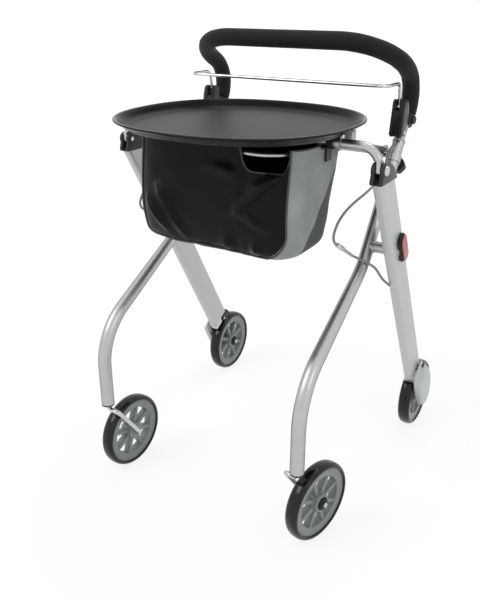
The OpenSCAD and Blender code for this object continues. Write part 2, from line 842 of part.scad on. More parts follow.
// Clevis cap: a plug in the leg, a collar and two cheeks for the pin
module leg_cap(side) {
    half = leg_t / 2 + 2;
    deep = leg_b / 2 + 2;
    pin = [-clevis_fwd, pin_up];
    plug_low = leg_end(deep)[1] - 14;
    brow_low = leg_end(deep) + [0, 6];
    brow_top = pin + [cheek_r * 0.6, cheek_r * 0.8];
    brow_out = unit([brow_top[1] - brow_low[1], brow_low[0] - brow_top[0]]);
    brow = [for (t = [0 : 0.25 : 1])
        brow_low + (brow_top - brow_low) * t + brow_out * cap_bulge * sin(180 * t)];
    color("#3c3e40")
        on_leg(side)
            difference() {
                union() {
                    plate_x(leg_x - half, leg_x + half) {
                        translate(pin) circle(r = cheek_r);
                        polygon(concat([leg_end(-deep), leg_end(deep)], brow,
                            [pin - [cheek_r, 0], leg_end(-deep) + [0, 4]]));
                    }
                    intersection() {
                        translate([leg_x, 0, plug_low])
                            linear_extrude(2 * leg_b)
                                round_rect(leg_t - 2 * (leg_wall + seat), leg_b - 2 * (leg_wall + seat),
                                    leg_round - leg_wall - seat);
                        plate_x(leg_inner, leg_outer)
                            polygon([leg_end(-leg_b) + [0, lap], leg_end(leg_b) + [0, lap],
                                [leg_b, plug_low - 1],
                                [-leg_b, plug_low - 1]]);
                    }
                }
                translate([leg_x - tongue_t / 2 - pass, -leg_b, pin_up - cheek_r])
                    cube([tongue_t + 2 * pass, 2 * leg_b, cap_drop + cheek_r]);
                rod_x(leg_x - half - 1, leg_x + half + 1, pin_d / 2 + seat, pin[0], pin[1]);
            }
}

module clevis_pins() {
    half = leg_t / 2 + 2;
    color("#8f9396")
        for (side = [-1, 1])
            on_leg(side) {
                rod_x(leg_x - half, leg_x + half + 1, pin_d / 2, -clevis_fwd, pin_up);
                rod_x(leg_x + half + seat, leg_x + half + 4, pin_d, -clevis_fwd, pin_up);
            }
}

// Fold pivots: bolt with its head sunk behind the reflector, sleeve in the leg, washer
module pivot_bolts() {
    color("#8f9396")
        for (side = [-1, 1])
            on_leg(side) {
                rod_x(upper_x + upper_d / 2 + 3, leg_outer + 0.5, pivot_d / 2, 0, leg_reach);
                rod_x(leg_outer + seat, leg_outer + 3, pivot_d * 0.8, 0, leg_reach);
            }
}

module pivot_sleeves() {
    color("#8f9396")
        for (side = [-1, 1])
            on_leg(side)
                difference() {
                    rod_x(leg_inner + leg_wall + seat, leg_outer - leg_wall - seat,
                        pivot_d / 2 + 2.5, 0, leg_reach);
                    rod_x(leg_inner, leg_outer, pivot_d / 2 + seat, 0, leg_reach);
                }
}

module pivot_washers() {
    color("#1d1d1d")
        for (side = [-1, 1])
            on_leg(side)
                difference() {
                    rod_x(leg_inner - 2.1, leg_inner - 0.1, stub_d / 2 + 1, 0, leg_reach);
                    rod_x(leg_inner - 3, leg_inner + 1, pivot_d / 2 + seat, 0, leg_reach);
                }
}

// Reflectors, over the pivot bolt heads and near the rear edge of the leg
module reflector_housings() {
    rear = leg_b / 2 - reflector_w / 2 - 4;
    color("#26282a")
        for (side = [-1, 1])
            on_leg(side)
                difference() {
                    plate_x(leg_outer + 0.05, leg_outer + reflector_h)
                        translate([rear, leg_reach])
                            round_rect(reflector_w, reflector_l, reflector_w / 2 - 1);
                    rod_x(leg_outer - 1, leg_outer + 3.4, pivot_d * 0.8 + pass, 0, leg_reach);
                }
}

module reflector_lenses() {
    rear = leg_b / 2 - reflector_w / 2 - 4;
    rim_t = 2.5;
    color("#c8321f")
        for (side = [-1, 1])
            on_leg(side)
                plate_x(leg_outer + reflector_h + 0.05, leg_outer + reflector_h + lens_h)
                    translate([rear, leg_reach])
                        round_rect(reflector_w - 2 * rim_t, reflector_l - 2 * rim_t,
                            reflector_w / 2 - rim_t - 1);
}

// Axle arm: a plug in the leg, a foot over the tyre and a plate down to the axle
module axle_arm(side) {
    foot_low = leg_low - 12;
    color("#777b7e")
        on_leg(side)
            difference() {
                union() {
                    translate([leg_x, 0, leg_low - seat - lap])
                        linear_extrude(30)
                            round_rect(leg_t - 2 * (leg_wall + seat), leg_b - 2 * (leg_wall + seat),
                                leg_round - leg_wall - seat);
                    plate_x(leg_inner, arm_out)
                        translate([2 - leg_b / 2, foot_low])
                            square([leg_b / 2 - 2, leg_low - seat - foot_low]);
                    plate_x(arm_in, arm_out) {
                        polygon([[-leg_b / 2 + 2, leg_low - seat], [leg_b / 2 - 2, leg_low - seat],
                            [18, 0], [-18, 0]]);
                        circle(r = 18);
                    }
                }
                rod_x(arm_in - 1, arm_out + 1, rod_d / 2 + seat);
                rod_x(arm_in - 1, arm_out + 1, shoe_pin_d / 2 + seat, shoe_at[0], shoe_at[1]);
            }
}

// Wheel axle bolts and the pins of the brake shoes
module axle_bolts() {
    inner = rear_x - hub_w / 2 - cap_h * 0.4;
    shoe_in = rear_x - shoe_w / 2 - 2;
    color("#8f9396")
        for (side = [-1, 1])
            on_leg(side) {
                rod_x(inner, arm_out + 1, rod_d / 2);
                rod_x(arm_out + seat, arm_out + 4, rod_d * 0.8);
                rod_x(shoe_in, arm_out + 1, shoe_pin_d / 2, shoe_at[0], shoe_at[1]);
                rod_x(arm_out + seat, arm_out + 3, shoe_pin_d * 0.8, shoe_at[0], shoe_at[1]);
            }
}

// Shell on the outside of the arm: a sloping shoulder with a slot at its rear end, bulging behind
function cover_ring(x, up, trim) = let (half = cover_w / 2)
    [for (p = [[-1.1, 0.93], [-1.15, 0.3], [-0.95, 0], [-0.3, -0.14], [0.4, -0.1], [0.85, 0.18], [1, 0.5],
        [0.9, 0.78], [0.6, 1.04]])
        [x, p[0] * half - trim * sign(p[0]), p[1] * up - trim * sign(p[1] - 0.3)]];
module brake_cover(side) {
    base = arm_out + pass;
    inner = base + cover_h - cover_wall;
    color("#b8bbbb")
        on_leg(side)
            difference() {
                loft([cover_ring(base, cover_up, 0),
                    cover_ring(base + cover_h, cover_up - cover_shoulder, 0)]);
                loft([cover_ring(base - 1, cover_up, cover_wall),
                    cover_ring(inner, cover_up - cover_shoulder, cover_wall)]);
                translate([base + cover_h * 0.2, cover_w * 0.15, cover_up * 0.9])
                    cube([cover_h * 0.4, cover_w * 0.13, cover_up * 0.2]);
            }
}

module brake_shoe(side) {
    face = wheel_d / 2 + shoe_gap;
    boss = shoe_pin_d;
    top = shoe_at[1] + boss - lap;
    color("#191919")
        on_leg(side)
            difference() {
                union() {
                    rod_x(rear_x - shoe_w / 2, rear_x + shoe_w / 2, boss, shoe_at[0], shoe_at[1]);
                    plate_x(rear_x - shoe_w / 2, rear_x + shoe_w / 2)
                        polygon([shoe_at - [0, boss / 2], [shoe_at[0], top],
                            [face * 0.4, top], [face * 0.45, face],
                            [face * 0.45, face * 0.85], [face * 0.2, face * 0.9]]);
                }
                rod_x(rear_x - shoe_w, rear_x + shoe_w, face);
                rod_x(rear_x - shoe_w, rear_x + shoe_w, shoe_pin_d / 2 + run_clear, shoe_at[0], shoe_at[1]);
            }
}

// Tray frame
module crossbar_path(r) {
    end = [leg_x, clevis_y, clevis_z];
    top = [leg_x, clevis_y, crossbar_z];
    bent_rod([end, top, [-top[0], top[1], top[2]], [-end[0], end[1], end[2]]], [crossbar_r, crossbar_r], r);
}

module tray_crossbar() {
    flat_z = clevis_z + cheek_r + 2.5;
    eye_r = pin_d / 2 + 4;
    color("#b4b8bb")
        difference() {
            union() {
                intersection() {
                    crossbar_path(bar_d / 2);
                    translate([-leg_x - bar_d, clevis_y - bar_d, flat_z])
                        cube([2 * (leg_x + bar_d), 2 * bar_d, crossbar_rise + bar_d]);
                }
                for (side = [-1, 1])
                    on_side(side) {
                        plate_x(leg_x - tongue_t / 2, leg_x + tongue_t / 2)
                            translate([clevis_y - eye_r, clevis_z])
                                square([2 * eye_r, flat_z + 6 - clevis_z]);
                        rod_x(leg_x - tongue_t / 2, leg_x + tongue_t / 2, eye_r, clevis_y, clevis_z);
                    }
            }
            for (side = [-1, 1])
                on_side(side)
                    rod_x(leg_x - tongue_t, leg_x + tongue_t, pin_d / 2 + run_clear, clevis_y, clevis_z);
        }
}

// Flat bar from an eye on the crossbar to a hook that sits on the peg
module tray_rail(side) {
    along = [cos(rail_slope), sin(rail_slope)];
    up = [-along[1], along[0]];
    front = [clevis_y, crossbar_z];
    rear = [peg_at[1], peg_at[2]];
    arm = [clevis_y - pivot[1], clevis_z - pivot[2]];
    free = unit([-arm[1], arm[0]]);
    gap = peg_d / 2 + run_clear;
    side_way = [free[1], -free[0]] * gap;
    flare = 1.4;
    color("#a9adb0")
        on_side(side)
            difference() {
                plate_x(rail_x - rail_t / 2, rail_x + rail_t / 2)
                    difference() {
                        union() {
                            translate(front) circle(r = bar_d / 2 + eye_wall);
                            polygon([front - up * rail_front_h / 2, rear - up * rail_rear_h / 2,
                                rear + up * rail_rear_h / 2, front + up * (bar_d / 2)]);
                            translate(rear) circle(r = hook_r);
                        }
                        translate(rear) circle(r = gap);
                        polygon([rear + side_way, rear - side_way, rear - side_way * flare + free * 40,
                            rear + side_way * flare + free * 40]);
                    }
                rod_x(rail_x - rail_t, rail_x + rail_t, bar_d / 2 + 0.05, clevis_y, crossbar_z);
            }
}

// Front rod of the bag on the crossbar, and the rear bar between the rails
module bag_frame() {
    half = bag_half - bag_wall - bag_rod_d / 2 - 7;
    corner_r = bag_front * 0.75;
    back = [half, clevis_y, bag_rod_z];
    front = [half, bag_rod_y, bag_rod_z];
    color("#b4b8bb") {
        difference() {
            bent_rod(concat([back, front], flip_x([front, back])), [corner_r, corner_r], bag_rod_d / 2);
            rod_x(-leg_x, leg_x, bar_d / 2 + 0.05, clevis_y, crossbar_z);
        }
        rod_x(-rail_in + 0.05, rail_in - 0.05, bag_bar_d / 2, bag_bar_y, bag_bar_z);
    }
}

// Clips on the crossbar that hold the sides of the bag
module bag_clips() {
    start = bag_half + pass;
    color("#1b1b1b")
        for (side = [-1, 1])
            on_side(side)
                difference() {
                    union() {
                        rod_x(start, start + clip_w, bar_d / 2 + 3, clevis_y, crossbar_z);
                        translate([start, clevis_y - bar_d * 2 / 3, bag_mouth - clip_drop])
                            cube([bar_d / 5, bar_d * 4 / 3, clip_drop + 2]);
                    }
                    rod_x(start - 1, start + clip_w + 1, bar_d / 2 + 0.05, clevis_y, crossbar_z);
                    translate([start - 1, clevis_y - bar_d, crossbar_z + bar_d / 4])
                        cube([clip_w + 2, 2 * bar_d, bar_d]);
                }
}

// Bag: an open shell lofted from its bottom to its mouth
function bag_ring(z, inset) = let (
    t = min(1, (z - bag_bottom) / bag_h),
    half = bag_half - bag_taper * (1 - pow(t, 0.5)),
    front = bag_lip_front - bag_bulge * sin(180 * pow(1 - t, 1.4)) + 4 * pow(1 - t, 6),
    rear = bag_lip_rear - bag_lean * pow(1 - t, 1.2))
    oval(half - inset, (rear - front) / 2 - inset, 5, (front + rear) / 2, z, 40);
module bag() {
    steps = 7;
    edge = bag_round;
    heights = [for (i = [0 : steps]) bag_bottom + edge + (bag_h - edge) * i / steps];
    color("#232324")
        difference() {
            loft(concat([bag_ring(bag_bottom, edge), bag_ring(bag_bottom + edge * 0.3, edge * 0.3)],
                [for (z = heights) bag_ring(z, 0)]));
            loft(concat([bag_ring(bag_bottom + bag_wall, edge + bag_wall)],
                [for (z = heights) bag_ring(z, bag_wall)], [bag_ring(bag_mouth + 5, bag_wall)]));
        }
}

// Tray: rings from the middle of the top, over the rim and back under
function tray_ring(inset, z) = oval(tray_a - inset, tray_b - inset, tray_n, tray_y, z, 72);
module tray_shell() {
    lip = 4;
    loft([tray_ring(flare_w + 4, tray_under), tray_ring(flare_w - 6, tray_under + 2),
        tray_ring(lip + 4, tray_top - tray_wall - 4), tray_ring(1, tray_top - tray_wall - 2.5),
        tray_ring(0, tray_top - tray_wall), tray_ring(0.6, tray_top - 0.6),
        tray_ring(lip * 0.6, tray_top), tray_ring(lip + 4, tray_top - 3.5),
        tray_ring(flare_w - 7, tray_floor + 2), tray_ring(flare_w + 2, tray_floor)]);
}
module tray() {
    color("#222223")
        tray_shell();
}

// The space over the tray's underside, which the lugs fit under
module tray_space() {
    loft([tray_ring(flare_w + 4, tray_under - seat), tray_ring(flare_w - 6, tray_under + 2 - seat),
        tray_ring(8, tray_top - tray_wall - 4 - seat), tray_ring(1, tray_top - tray_wall - 2.5 - seat),
        tray_ring(0, tray_top + 40)]);
}

// Light lugs under the rim that straddle the rails
module tray_lugs() {
    y = clevis_y + lug_back;
    rail_z = crossbar_z + lug_back * tan(rail_slope);
    low = rail_z + 2;
    color("#c4c7c8")
        for (side = [-1, 1])
            on_side(side)
                difference() {
                    translate([rail_x - lug_w / 2, y - lug_l / 2, low])
                        cube([lug_w, lug_l, tray_top - low]);
                    tray_space();
                    translate([rail_x - rail_t / 2 - pass, clevis_y, crossbar_z])
                        rotate([rail_slope, 0, 0])
                            translate([0, 0, -40])
                                cube([rail_t + 2 * pass, rail_run, 40 + bar_d / 2 + pass]);
                }
}

// Brake cables and their adjusters
module cable_upper(side) {
    color("#6d7173")
        on_side(side)
            cable(upper_route);
}
module cable_lower(side) {
    color("#6d7173")
        on_side(side)
            cable(lower_route);
}
module cable_adjusters() {
    a = adjuster_ends[0];
    b = adjuster_ends[1];
    along = unit(b - a);
    color("#8a8e90")
        for (side = [-1, 1])
            on_side(side) {
                rod_between(a + along * 0.6, a + along * 30, adjuster_d / 2, adjuster_d / 2);
                rod_between(a + along * 30, b - along * 0.6, adjuster_d / 2 - 1.5, adjuster_d / 2 - 1.5);
            }
}

front_tube(-1);  // front_tube_left
front_tube(1);  // front_tube_right
caster_bushes();
tube_end_bushes();
clamp_collars();
hook_pegs();
cable_upper(-1);  // brake_cable_upper_left
cable_upper(1);  // brake_cable_upper_right
cable_lower(-1);  // brake_cable_lower_left
cable_lower(1);  // brake_cable_lower_right
cable_adjusters();
handle_tube();
handle_grip();
lever_housing(-1);  // lever_housing_left
lever_housing(1);  // lever_housing_right
lever_plates();
clamp_screws();
brake_bar();
rear_leg(-1);  // rear_leg_left
rear_leg(1);  // rear_leg_right
leg_cap(-1);  // leg_cap_left
leg_cap(1);  // leg_cap_right
clevis_pins();
pivot_bolts();
pivot_sleeves();
pivot_washers();
reflector_housings();
reflector_lenses();
axle_arm(-1);  // axle_arm_left
axle_arm(1);  // axle_arm_right
axle_bolts();
brake_cover(-1);  // brake_cover_left
brake_cover(1);  // brake_cover_right
tray_crossbar();
tray_rail(-1);  // tray_rail_left
tray_rail(1);  // tray_rail_right
bag_frame();
bag_clips();
bag();
tray();
tray_lugs();
caster_rod(-1);  // caster_rod_left
caster_rod(1);  // caster_rod_right
at_front_wheel(-1) tyre();  // front_tyre_left
at_front_wheel(1) tyre();  // front_tyre_right
at_front_wheel(-1) rim();  // front_rim_left
at_front_wheel(1) rim();  // front_rim_right
at_front_wheel(-1) hub_cap();  // front_hub_cap_left
at_front_wheel(1) hub_cap();  // front_hub_cap_right
at_rear_wheel(-1) tyre();  // rear_tyre_left
at_rear_wheel(1) tyre();  // rear_tyre_right
at_rear_wheel(-1) rim();  // rear_rim_left
at_rear_wheel(1) rim();  // rear_rim_right
at_rear_wheel(-1) hub_cap();  // rear_hub_cap_left
at_rear_wheel(1) hub_cap();  // rear_hub_cap_right
height_knob(-1);  // height_knob_left
height_knob(1);  // height_knob_right
brake_shoe(-1);  // brake_shoe_left
brake_shoe(1);  // brake_shoe_right
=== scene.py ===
"""Finished pieces of an indoor walker with tray, laid out as a Blender add-on and run as a script."""
import json
import math

import bmesh
import bpy
from mathutils import Matrix, Vector, noise


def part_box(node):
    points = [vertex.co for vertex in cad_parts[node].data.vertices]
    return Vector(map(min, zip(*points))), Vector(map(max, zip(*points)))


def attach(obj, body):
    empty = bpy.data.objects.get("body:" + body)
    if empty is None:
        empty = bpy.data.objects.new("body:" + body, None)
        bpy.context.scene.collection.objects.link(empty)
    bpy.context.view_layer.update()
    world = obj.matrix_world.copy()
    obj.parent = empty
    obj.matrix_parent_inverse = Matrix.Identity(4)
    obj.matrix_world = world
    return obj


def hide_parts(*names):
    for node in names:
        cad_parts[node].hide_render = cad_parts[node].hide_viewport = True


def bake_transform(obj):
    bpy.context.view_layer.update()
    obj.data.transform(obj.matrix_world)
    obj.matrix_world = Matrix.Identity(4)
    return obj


bl_info = {
    "name": "Indoor Walker",
    "version": (1, 0, 0),
    "blender": (4, 5, 0),
    "location": "View3D > Sidebar > Walker",
    "description": "Dresses the packed walker with its finished pieces",
    "category": "Object",
}

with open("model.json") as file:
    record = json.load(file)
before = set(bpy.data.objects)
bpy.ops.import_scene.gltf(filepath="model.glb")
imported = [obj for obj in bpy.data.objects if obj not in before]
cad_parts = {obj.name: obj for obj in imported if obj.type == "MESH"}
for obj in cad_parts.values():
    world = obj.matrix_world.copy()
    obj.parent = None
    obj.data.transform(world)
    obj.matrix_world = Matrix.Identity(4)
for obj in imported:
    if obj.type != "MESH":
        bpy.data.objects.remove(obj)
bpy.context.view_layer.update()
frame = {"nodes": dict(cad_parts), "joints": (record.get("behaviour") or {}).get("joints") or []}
NODES = frame["nodes"]
JOINTS = {joint["name"]: joint for joint in frame["joints"]}
SIDES = (("left", -1), ("right", 1))
MM = 0.001
FLIP = Vector((-1, 1, 1))


def mm(*values):
    return Vector(values) * MM


def shift(*values):
    return Matrix.Translation(mm(*values))


def clamp(value):
    return min(1, max(0, value))


# Places that the pieces are built from, in the CAD frame

def joint_at(name, x=0.0):
    place = Vector(JOINTS[name]["pos_m"])
    place.x = x
    return place


def upright(origin, along):
    """Frame with x across, z along a direction in the YZ plane and y square to both, to the rear."""
    return Matrix.Translation(origin) @ Matrix((
        (1, 0, 0, 0), (0, along.z, along.y, 0), (0, -along.y, along.z, 0), (0, 0, 0, 1)))


TUBE_X = 204 * MM
LEG_X = 252 * MM
PIVOT = joint_at("fold", TUBE_X)
TUBE_DIR = Vector(JOINTS["handle_height"]["axis"]).normalized()
TUBE_BACK = Vector((0, TUBE_DIR.z, -TUBE_DIR.y))
TUBE = upright(PIVOT, TUBE_DIR)
AXLE = joint_at("rear_wheel_roll_right")
LEG_REACH = (joint_at("fold") - AXLE).length
LEG_DIR = (joint_at("fold") - AXLE).normalized()
LEG = upright(AXLE, LEG_DIR)
CLEVIS = joint_at("tray_frame_tilt")
BARREL = joint_at("brake_squeeze")
CROSSBAR_Z = CLEVIS.z + 35 * MM
TRAY_Y = JOINTS["tray_lift"]["pos_m"][1]
TRAY_FLOOR = JOINTS["tray_lift"]["pos_m"][2]
LEVER = TUBE @ shift(-2, -16.4, 203.6) @ Matrix.Rotation(math.radians(26), 4, "X")
LEG_TURN = (math.radians(-30.4), 0, 0)


def up_tube(distance):
    """Point on the right tube's straight top, by its distance over the pivot in millimetres."""
    return PIVOT + TUBE_DIR * distance * MM


def across(*points):
    """Points on the right and then their mirror images, back to the first."""
    return [*points, *(p * FLIP for p in reversed(points))]


# Sizes and colours that a user would change

def length(name, text, default):
    return bpy.props.FloatProperty(name=name, description=text, default=default, unit="LENGTH", precision=4)


def colour(name, text, default):
    return bpy.props.FloatVectorProperty(name=name, description=text, default=default, subtype="COLOR",
                                         min=0, max=1)


class WalkerSizes(bpy.types.PropertyGroup):
    lower_tube: length("Lower tube", "Diameter of the front tubes at the casters", 0.025)
    upper_tube: length("Upper tube", "Diameter of the front tubes at the handle", 0.022)
    caster_rod: length("Caster rod", "Diameter of the bent caster rods", 0.009)
    crossbar: length("Crossbar", "Diameter of the tray crossbar", 0.015)
    bag_rod: length("Bag rod", "Diameter of the rod that holds the bag open", 0.008)
    foam: length("Foam grip", "Diameter of the foam on the handle", 0.032)
    brake_wire: length("Brake wire", "Diameter of the brake bar", 0.006)
    cable: length("Brake cable", "Diameter of the brake cables", 0.0045)
    wheel: length("Wheel", "Diameter over the tyres", 0.150)
    tyre_width: length("Tyre width", "Width of the tyres", 0.026)
    spokes: bpy.props.IntProperty(name="Spokes", description="Spokes in a wheel", default=8, min=5, max=10)
    tray_width: length("Tray half width", "From the middle of the tray to its side", 0.209)
    tray_length: length("Tray half length", "From the middle of the tray to its front", 0.196)
    fold_depth: length("Fold depth", "How deep the folds in the bag's cloth are", 0.0046)


class WalkerFinishes(bpy.types.PropertyGroup):
    silver: colour("Silver paint", "Frame tubes", (0.50, 0.505, 0.51))
    anodised: colour("Anodised aluminium", "Rear legs", (0.62, 0.625, 0.63))
    zinc: colour("Zinc plate", "Rods, pins and bolts", (0.56, 0.57, 0.58))
    chrome: colour("Chrome", "Brake bar", (0.58, 0.585, 0.59))
    black: colour("Black moulding", "Housings, knobs and bushes", (0.014, 0.014, 0.015))
    graphite: colour("Dark grey moulding", "Leg caps and clamp screws", (0.040, 0.042, 0.045))
    plate: colour("Grey moulding", "Lever plates", (0.105, 0.110, 0.114))
    pale: colour("Pale grey moulding", "Brake covers and tray lugs", (0.72, 0.76, 0.75))
    tray: colour("Tray", "Black tray", (0.020, 0.020, 0.021))
    foam: colour("Foam", "Handle grip", (0.017, 0.017, 0.016))
    tyre: colour("Tyre", "Tyres and brake shoes", (0.006, 0.006, 0.006))
    rim: colour("Rim", "Wheel rims", (0.290, 0.325, 0.320))
    cloth_black: colour("Black cloth", "Front, back and bottom of the bag", (0.007, 0.007, 0.0073))
    cloth_grey: colour("Grey cloth", "Sides of the bag", (0.46, 0.485, 0.49))
    piping: colour("Piping", "Edging of the bag", (0.075, 0.078, 0.080))
    lens: colour("Reflector", "Red lens", (0.56, 0.030, 0.016))
    cable: colour("Cable jacket", "Brake cables", (0.300, 0.310, 0.315))


class WalkerStage(bpy.types.PropertyGroup):
    camera: bpy.props.FloatVectorProperty(name="Camera", description="Place of the camera",
                                          default=(0.6268, -1.1439, 0.9075), subtype="XYZ", unit="LENGTH")
    azimuth: bpy.props.FloatProperty(name="Azimuth", description="Turn of the camera from the front",
                                     default=math.radians(31.371), unit="ROTATION")
    elevation: bpy.props.FloatProperty(name="Elevation", description="How far the camera looks down",
                                       default=math.radians(23.575), unit="ROTATION")
    lens: bpy.props.FloatProperty(name="Lens", description="Focal length", default=41.95, unit="CAMERA")
    shift: bpy.props.FloatProperty(name="Shift", description="Upward shift of the picture", default=-0.0038)
    floor: colour("Floor", "Pale floor", (0.93, 0.93, 0.93))


# Materials, on Object coordinates apart from the threads of the cloth

class Nodes:
    """Short hand for a node tree."""

    def __init__(self, owner):
        owner.use_nodes = True
        self.owner = owner
        self.tree = owner.node_tree
        self.shader = self.tree.nodes.get("Principled BSDF")

    def link(self, source, socket):
        self.tree.links.new(source, socket)

    def add(self, kind, *links, **values):
        node = self.tree.nodes.new("ShaderNode" + kind)
        for key, value in values.items():
            if key in node.inputs:
                node.inputs[key].default_value = value
            else:
                setattr(node, key, value)
        for source, socket in links:
            self.link(source, node.inputs[socket])
        return node

    def put(self, source, socket):
        self.link(source, self.shader.inputs[socket])

    def coordinates(self, scale=(1, 1, 1), turn=(0, 0, 0)):
        place = self.add("TexCoord").outputs["Object"]
        return self.add("Mapping", (place, "Vector"), Scale=scale, Rotation=turn).outputs["Vector"]

    def speckle(self, scale, detail=3.0, at=None):
        at = at or self.coordinates()
        return self.add("TexNoise", (at, "Vector"), Scale=scale, Detail=detail).outputs["Fac"]

    def math(self, operation, a, b):
        return self.add("Math", (a, 0), (b, 1), operation=operation).outputs[0]

    def span(self, source, low, high, start=0.3, end=0.7):
        node = self.add("MapRange", (source, "Value"))
        for socket, value in zip(("From Min", "From Max", "To Min", "To Max"), (start, end, low, high)):
            node.inputs[socket].default_value = value
        return node.outputs["Result"]

    def blend(self, source, first, second):
        """Mix of two colours. Gives the sockets of both, and the mix."""
        node = self.add("Mix", (source, "Factor"), data_type="RGBA")
        plugs = [s for s in node.inputs if s.type == "RGBA"]
        for plug, tone in zip(plugs, (first, second)):
            plug.default_value = [*tone, 1]
        return *plugs, [s for s in node.outputs if s.type == "RGBA"][0]

    def shade(self, tone, source, low, high):
        """The colour, made darker and lighter between two shares of itself."""
        return self.blend(source, *([min(1, c * share) for c in tone] for share in (low, high)))[2]

    def bump(self, height, strength, depth, under=None):
        node = self.add("Bump", (height, "Height"), Strength=strength, Distance=depth)
        if under:
            self.link(under, node.inputs["Normal"])
        return node.outputs["Normal"]

    def fixed(self, **sockets):
        for name, value in sockets.items():
            self.shader.inputs[name.replace("_", " ")].default_value = value

    def seen(self):
        """1 for the rays that show the background: from the camera, mirrored or let through."""
        rays = self.add("LightPath").outputs
        total = rays["Is Camera Ray"]
        for ray in ("Is Glossy Ray", "Is Transmission Ray"):
            total = self.add("Math", (total, 0), (rays[ray], 1), use_clamp=True).outputs[0]
        return total


def tones():
    return bpy.context.scene.walker_finishes


def new_material(name):
    return Nodes(bpy.data.materials.new(name))


def moulded(name, tone, rough, grain, depth, metal=0.0, tint=0.08, stretch=(1, 1, 1), turn=(0, 0, 0),
            **fixed):
    """Finish with patches in its gloss and colour and a fine grain in its surface."""
    n = new_material(name)
    at = n.coordinates(stretch, turn)
    patches = n.speckle(9, 4, at)
    fine = n.speckle(grain, 2, at)
    n.put(n.shade(getattr(tones(), tone), n.span(patches, 0, 1), 1 - tint, 1 + tint), "Base Color")
    n.put(n.span(n.math("ADD", patches, fine), *rough, 0.7, 1.3), "Roughness")
    n.put(n.bump(fine, 0.35, depth), "Normal")
    n.fixed(Metallic=metal, **fixed)
    return n.owner


# Colour, least and most roughness, scale of the grain, its depth in metres, and what else differs
MOULDED = {
    "silver_paint": ("silver", (0.30, 0.38), 1900, 0.00001, dict(
        metal=1.0, tint=0.03, Specular_Tint=(0.30, 0.30, 0.31, 1))),
    "anodised_leg": ("anodised", (0.38, 0.52), 420, 0.00002, dict(
        metal=0.5, tint=0.04, stretch=(1, 1, 0.05), turn=LEG_TURN)),
    "zinc_plate": ("zinc", (0.20, 0.36), 700, 0.00004, dict(metal=1.0, tint=0.09)),
    "chrome_plate": ("chrome", (0.05, 0.12), 300, 0.000015, dict(
        metal=1.0, tint=0.04, Specular_Tint=(0.25, 0.25, 0.25, 1))),
    "black_moulding": ("black", (0.30, 0.44), 1400, 0.00010, dict(tint=0.25, Specular_IOR_Level=0.25)),
    "graphite_moulding": ("graphite", (0.34, 0.46), 1500, 0.00008, dict(tint=0.10, Specular_IOR_Level=0.3)),
    "plate_moulding": ("plate", (0.36, 0.50), 1500, 0.00006, {}),
    "pale_moulding": ("pale", (0.34, 0.46), 1500, 0.00005, dict(tint=0.04)),
    "foam_skin": ("foam", (0.70, 0.88), 950, 0.00028, dict(
        tint=0.22, Sheen_Weight=0.08, Sheen_Roughness=0.5, Specular_IOR_Level=0.2)),
    "rubber_tread": ("tyre", (0.08, 0.20), 420, 0.00012, dict(tint=0.30, Specular_IOR_Level=0.35)),
    "rim_moulding": ("rim", (0.26, 0.40), 1100, 0.00005, dict(tint=0.07)),
    "cable_sleeve": ("cable", (0.34, 0.46), 900, 0.00006, dict(tint=0.10)),
    "piping_cord": ("piping", (0.55, 0.70), 1200, 0.00015, dict(tint=0.15)),
}


def tray_moulding():
    """Grained floor and a smoother, shinier rim."""
    n = new_material("tray_moulding")
    at = n.coordinates()
    height = n.add("SeparateXYZ", (at, "Vector")).outputs["Z"]
    rim = n.span(height, 0, 1, TRAY_FLOOR + 0.5 * MM, TRAY_FLOOR + 5 * MM)
    grain = n.speckle(1300, 3, at)
    patches = n.speckle(7, 4, at)
    tone = n.math("ADD", n.span(grain, 0, 0.6), n.span(patches, 0, 0.4))
    n.put(n.shade(tones().tray, tone, 0.65, 1.5), "Base Color")
    n.put(n.span(rim, 0.44, 0.22, 0, 1), "Roughness")
    n.put(n.bump(n.math("MULTIPLY", grain, n.span(rim, 1, 0.12, 0, 1)), 0.5, 0.00022), "Normal")
    wall = n.span(height, 0.26, 0.06, TRAY_FLOOR + 0.3 * MM, TRAY_FLOOR + 3 * MM)
    lip = n.span(height, 0, 0.45, TRAY_FLOOR + 13.4 * MM, TRAY_FLOOR + 14.4 * MM)
    n.put(n.math("ADD", wall, lip), "Specular IOR Level")
    return n.owner


def woven(name, tone, rough, gloss=0.22, share=1):
    """Plain weave on the cloth's own UV map, with softer and darker patches."""
    n = new_material(name)
    place = n.add("TexCoord").outputs["UV"]
    threads = []
    for turn in (0, math.radians(90)):
        at = n.add("Mapping", (place, "Vector"), Rotation=(0, 0, turn)).outputs["Vector"]
        wave = n.add("TexWave", (at, "Vector"), Scale=190.0, Distortion=0.5, Detail=1.0)
        threads.append(wave.outputs["Fac"])
    weave = n.math("MULTIPLY", *threads)
    patches = n.speckle(16, 5)
    mixed = n.math("ADD", n.span(weave, 0, 0.45, 0, 1), n.span(patches, 0, 0.55))
    n.put(n.shade([c * share for c in getattr(tones(), tone)], mixed, 0.72, 1.30), "Base Color")
    n.put(n.span(patches, *rough), "Roughness")
    n.put(n.bump(weave, 0.4, 0.00025, n.bump(n.speckle(38, 3), 0.35, 0.0012)), "Normal")
    n.fixed(Sheen_Weight=0.02, Sheen_Roughness=0.4, Specular_IOR_Level=gloss)
    return n.owner


# Colour, least and most roughness, and what else differs
WOVEN = {
    "black_cloth": ("cloth_black", (0.26, 0.38), dict(gloss=0.11)),
    "grey_cloth": ("cloth_grey", (0.52, 0.68), {}),
    # A darker copy of the grey cloth for the lower rear corner of each side: painted shade, partly darker
    # cloth.
    "shade_cloth": ("cloth_grey", (0.52, 0.68), dict(share=0.25)),
}


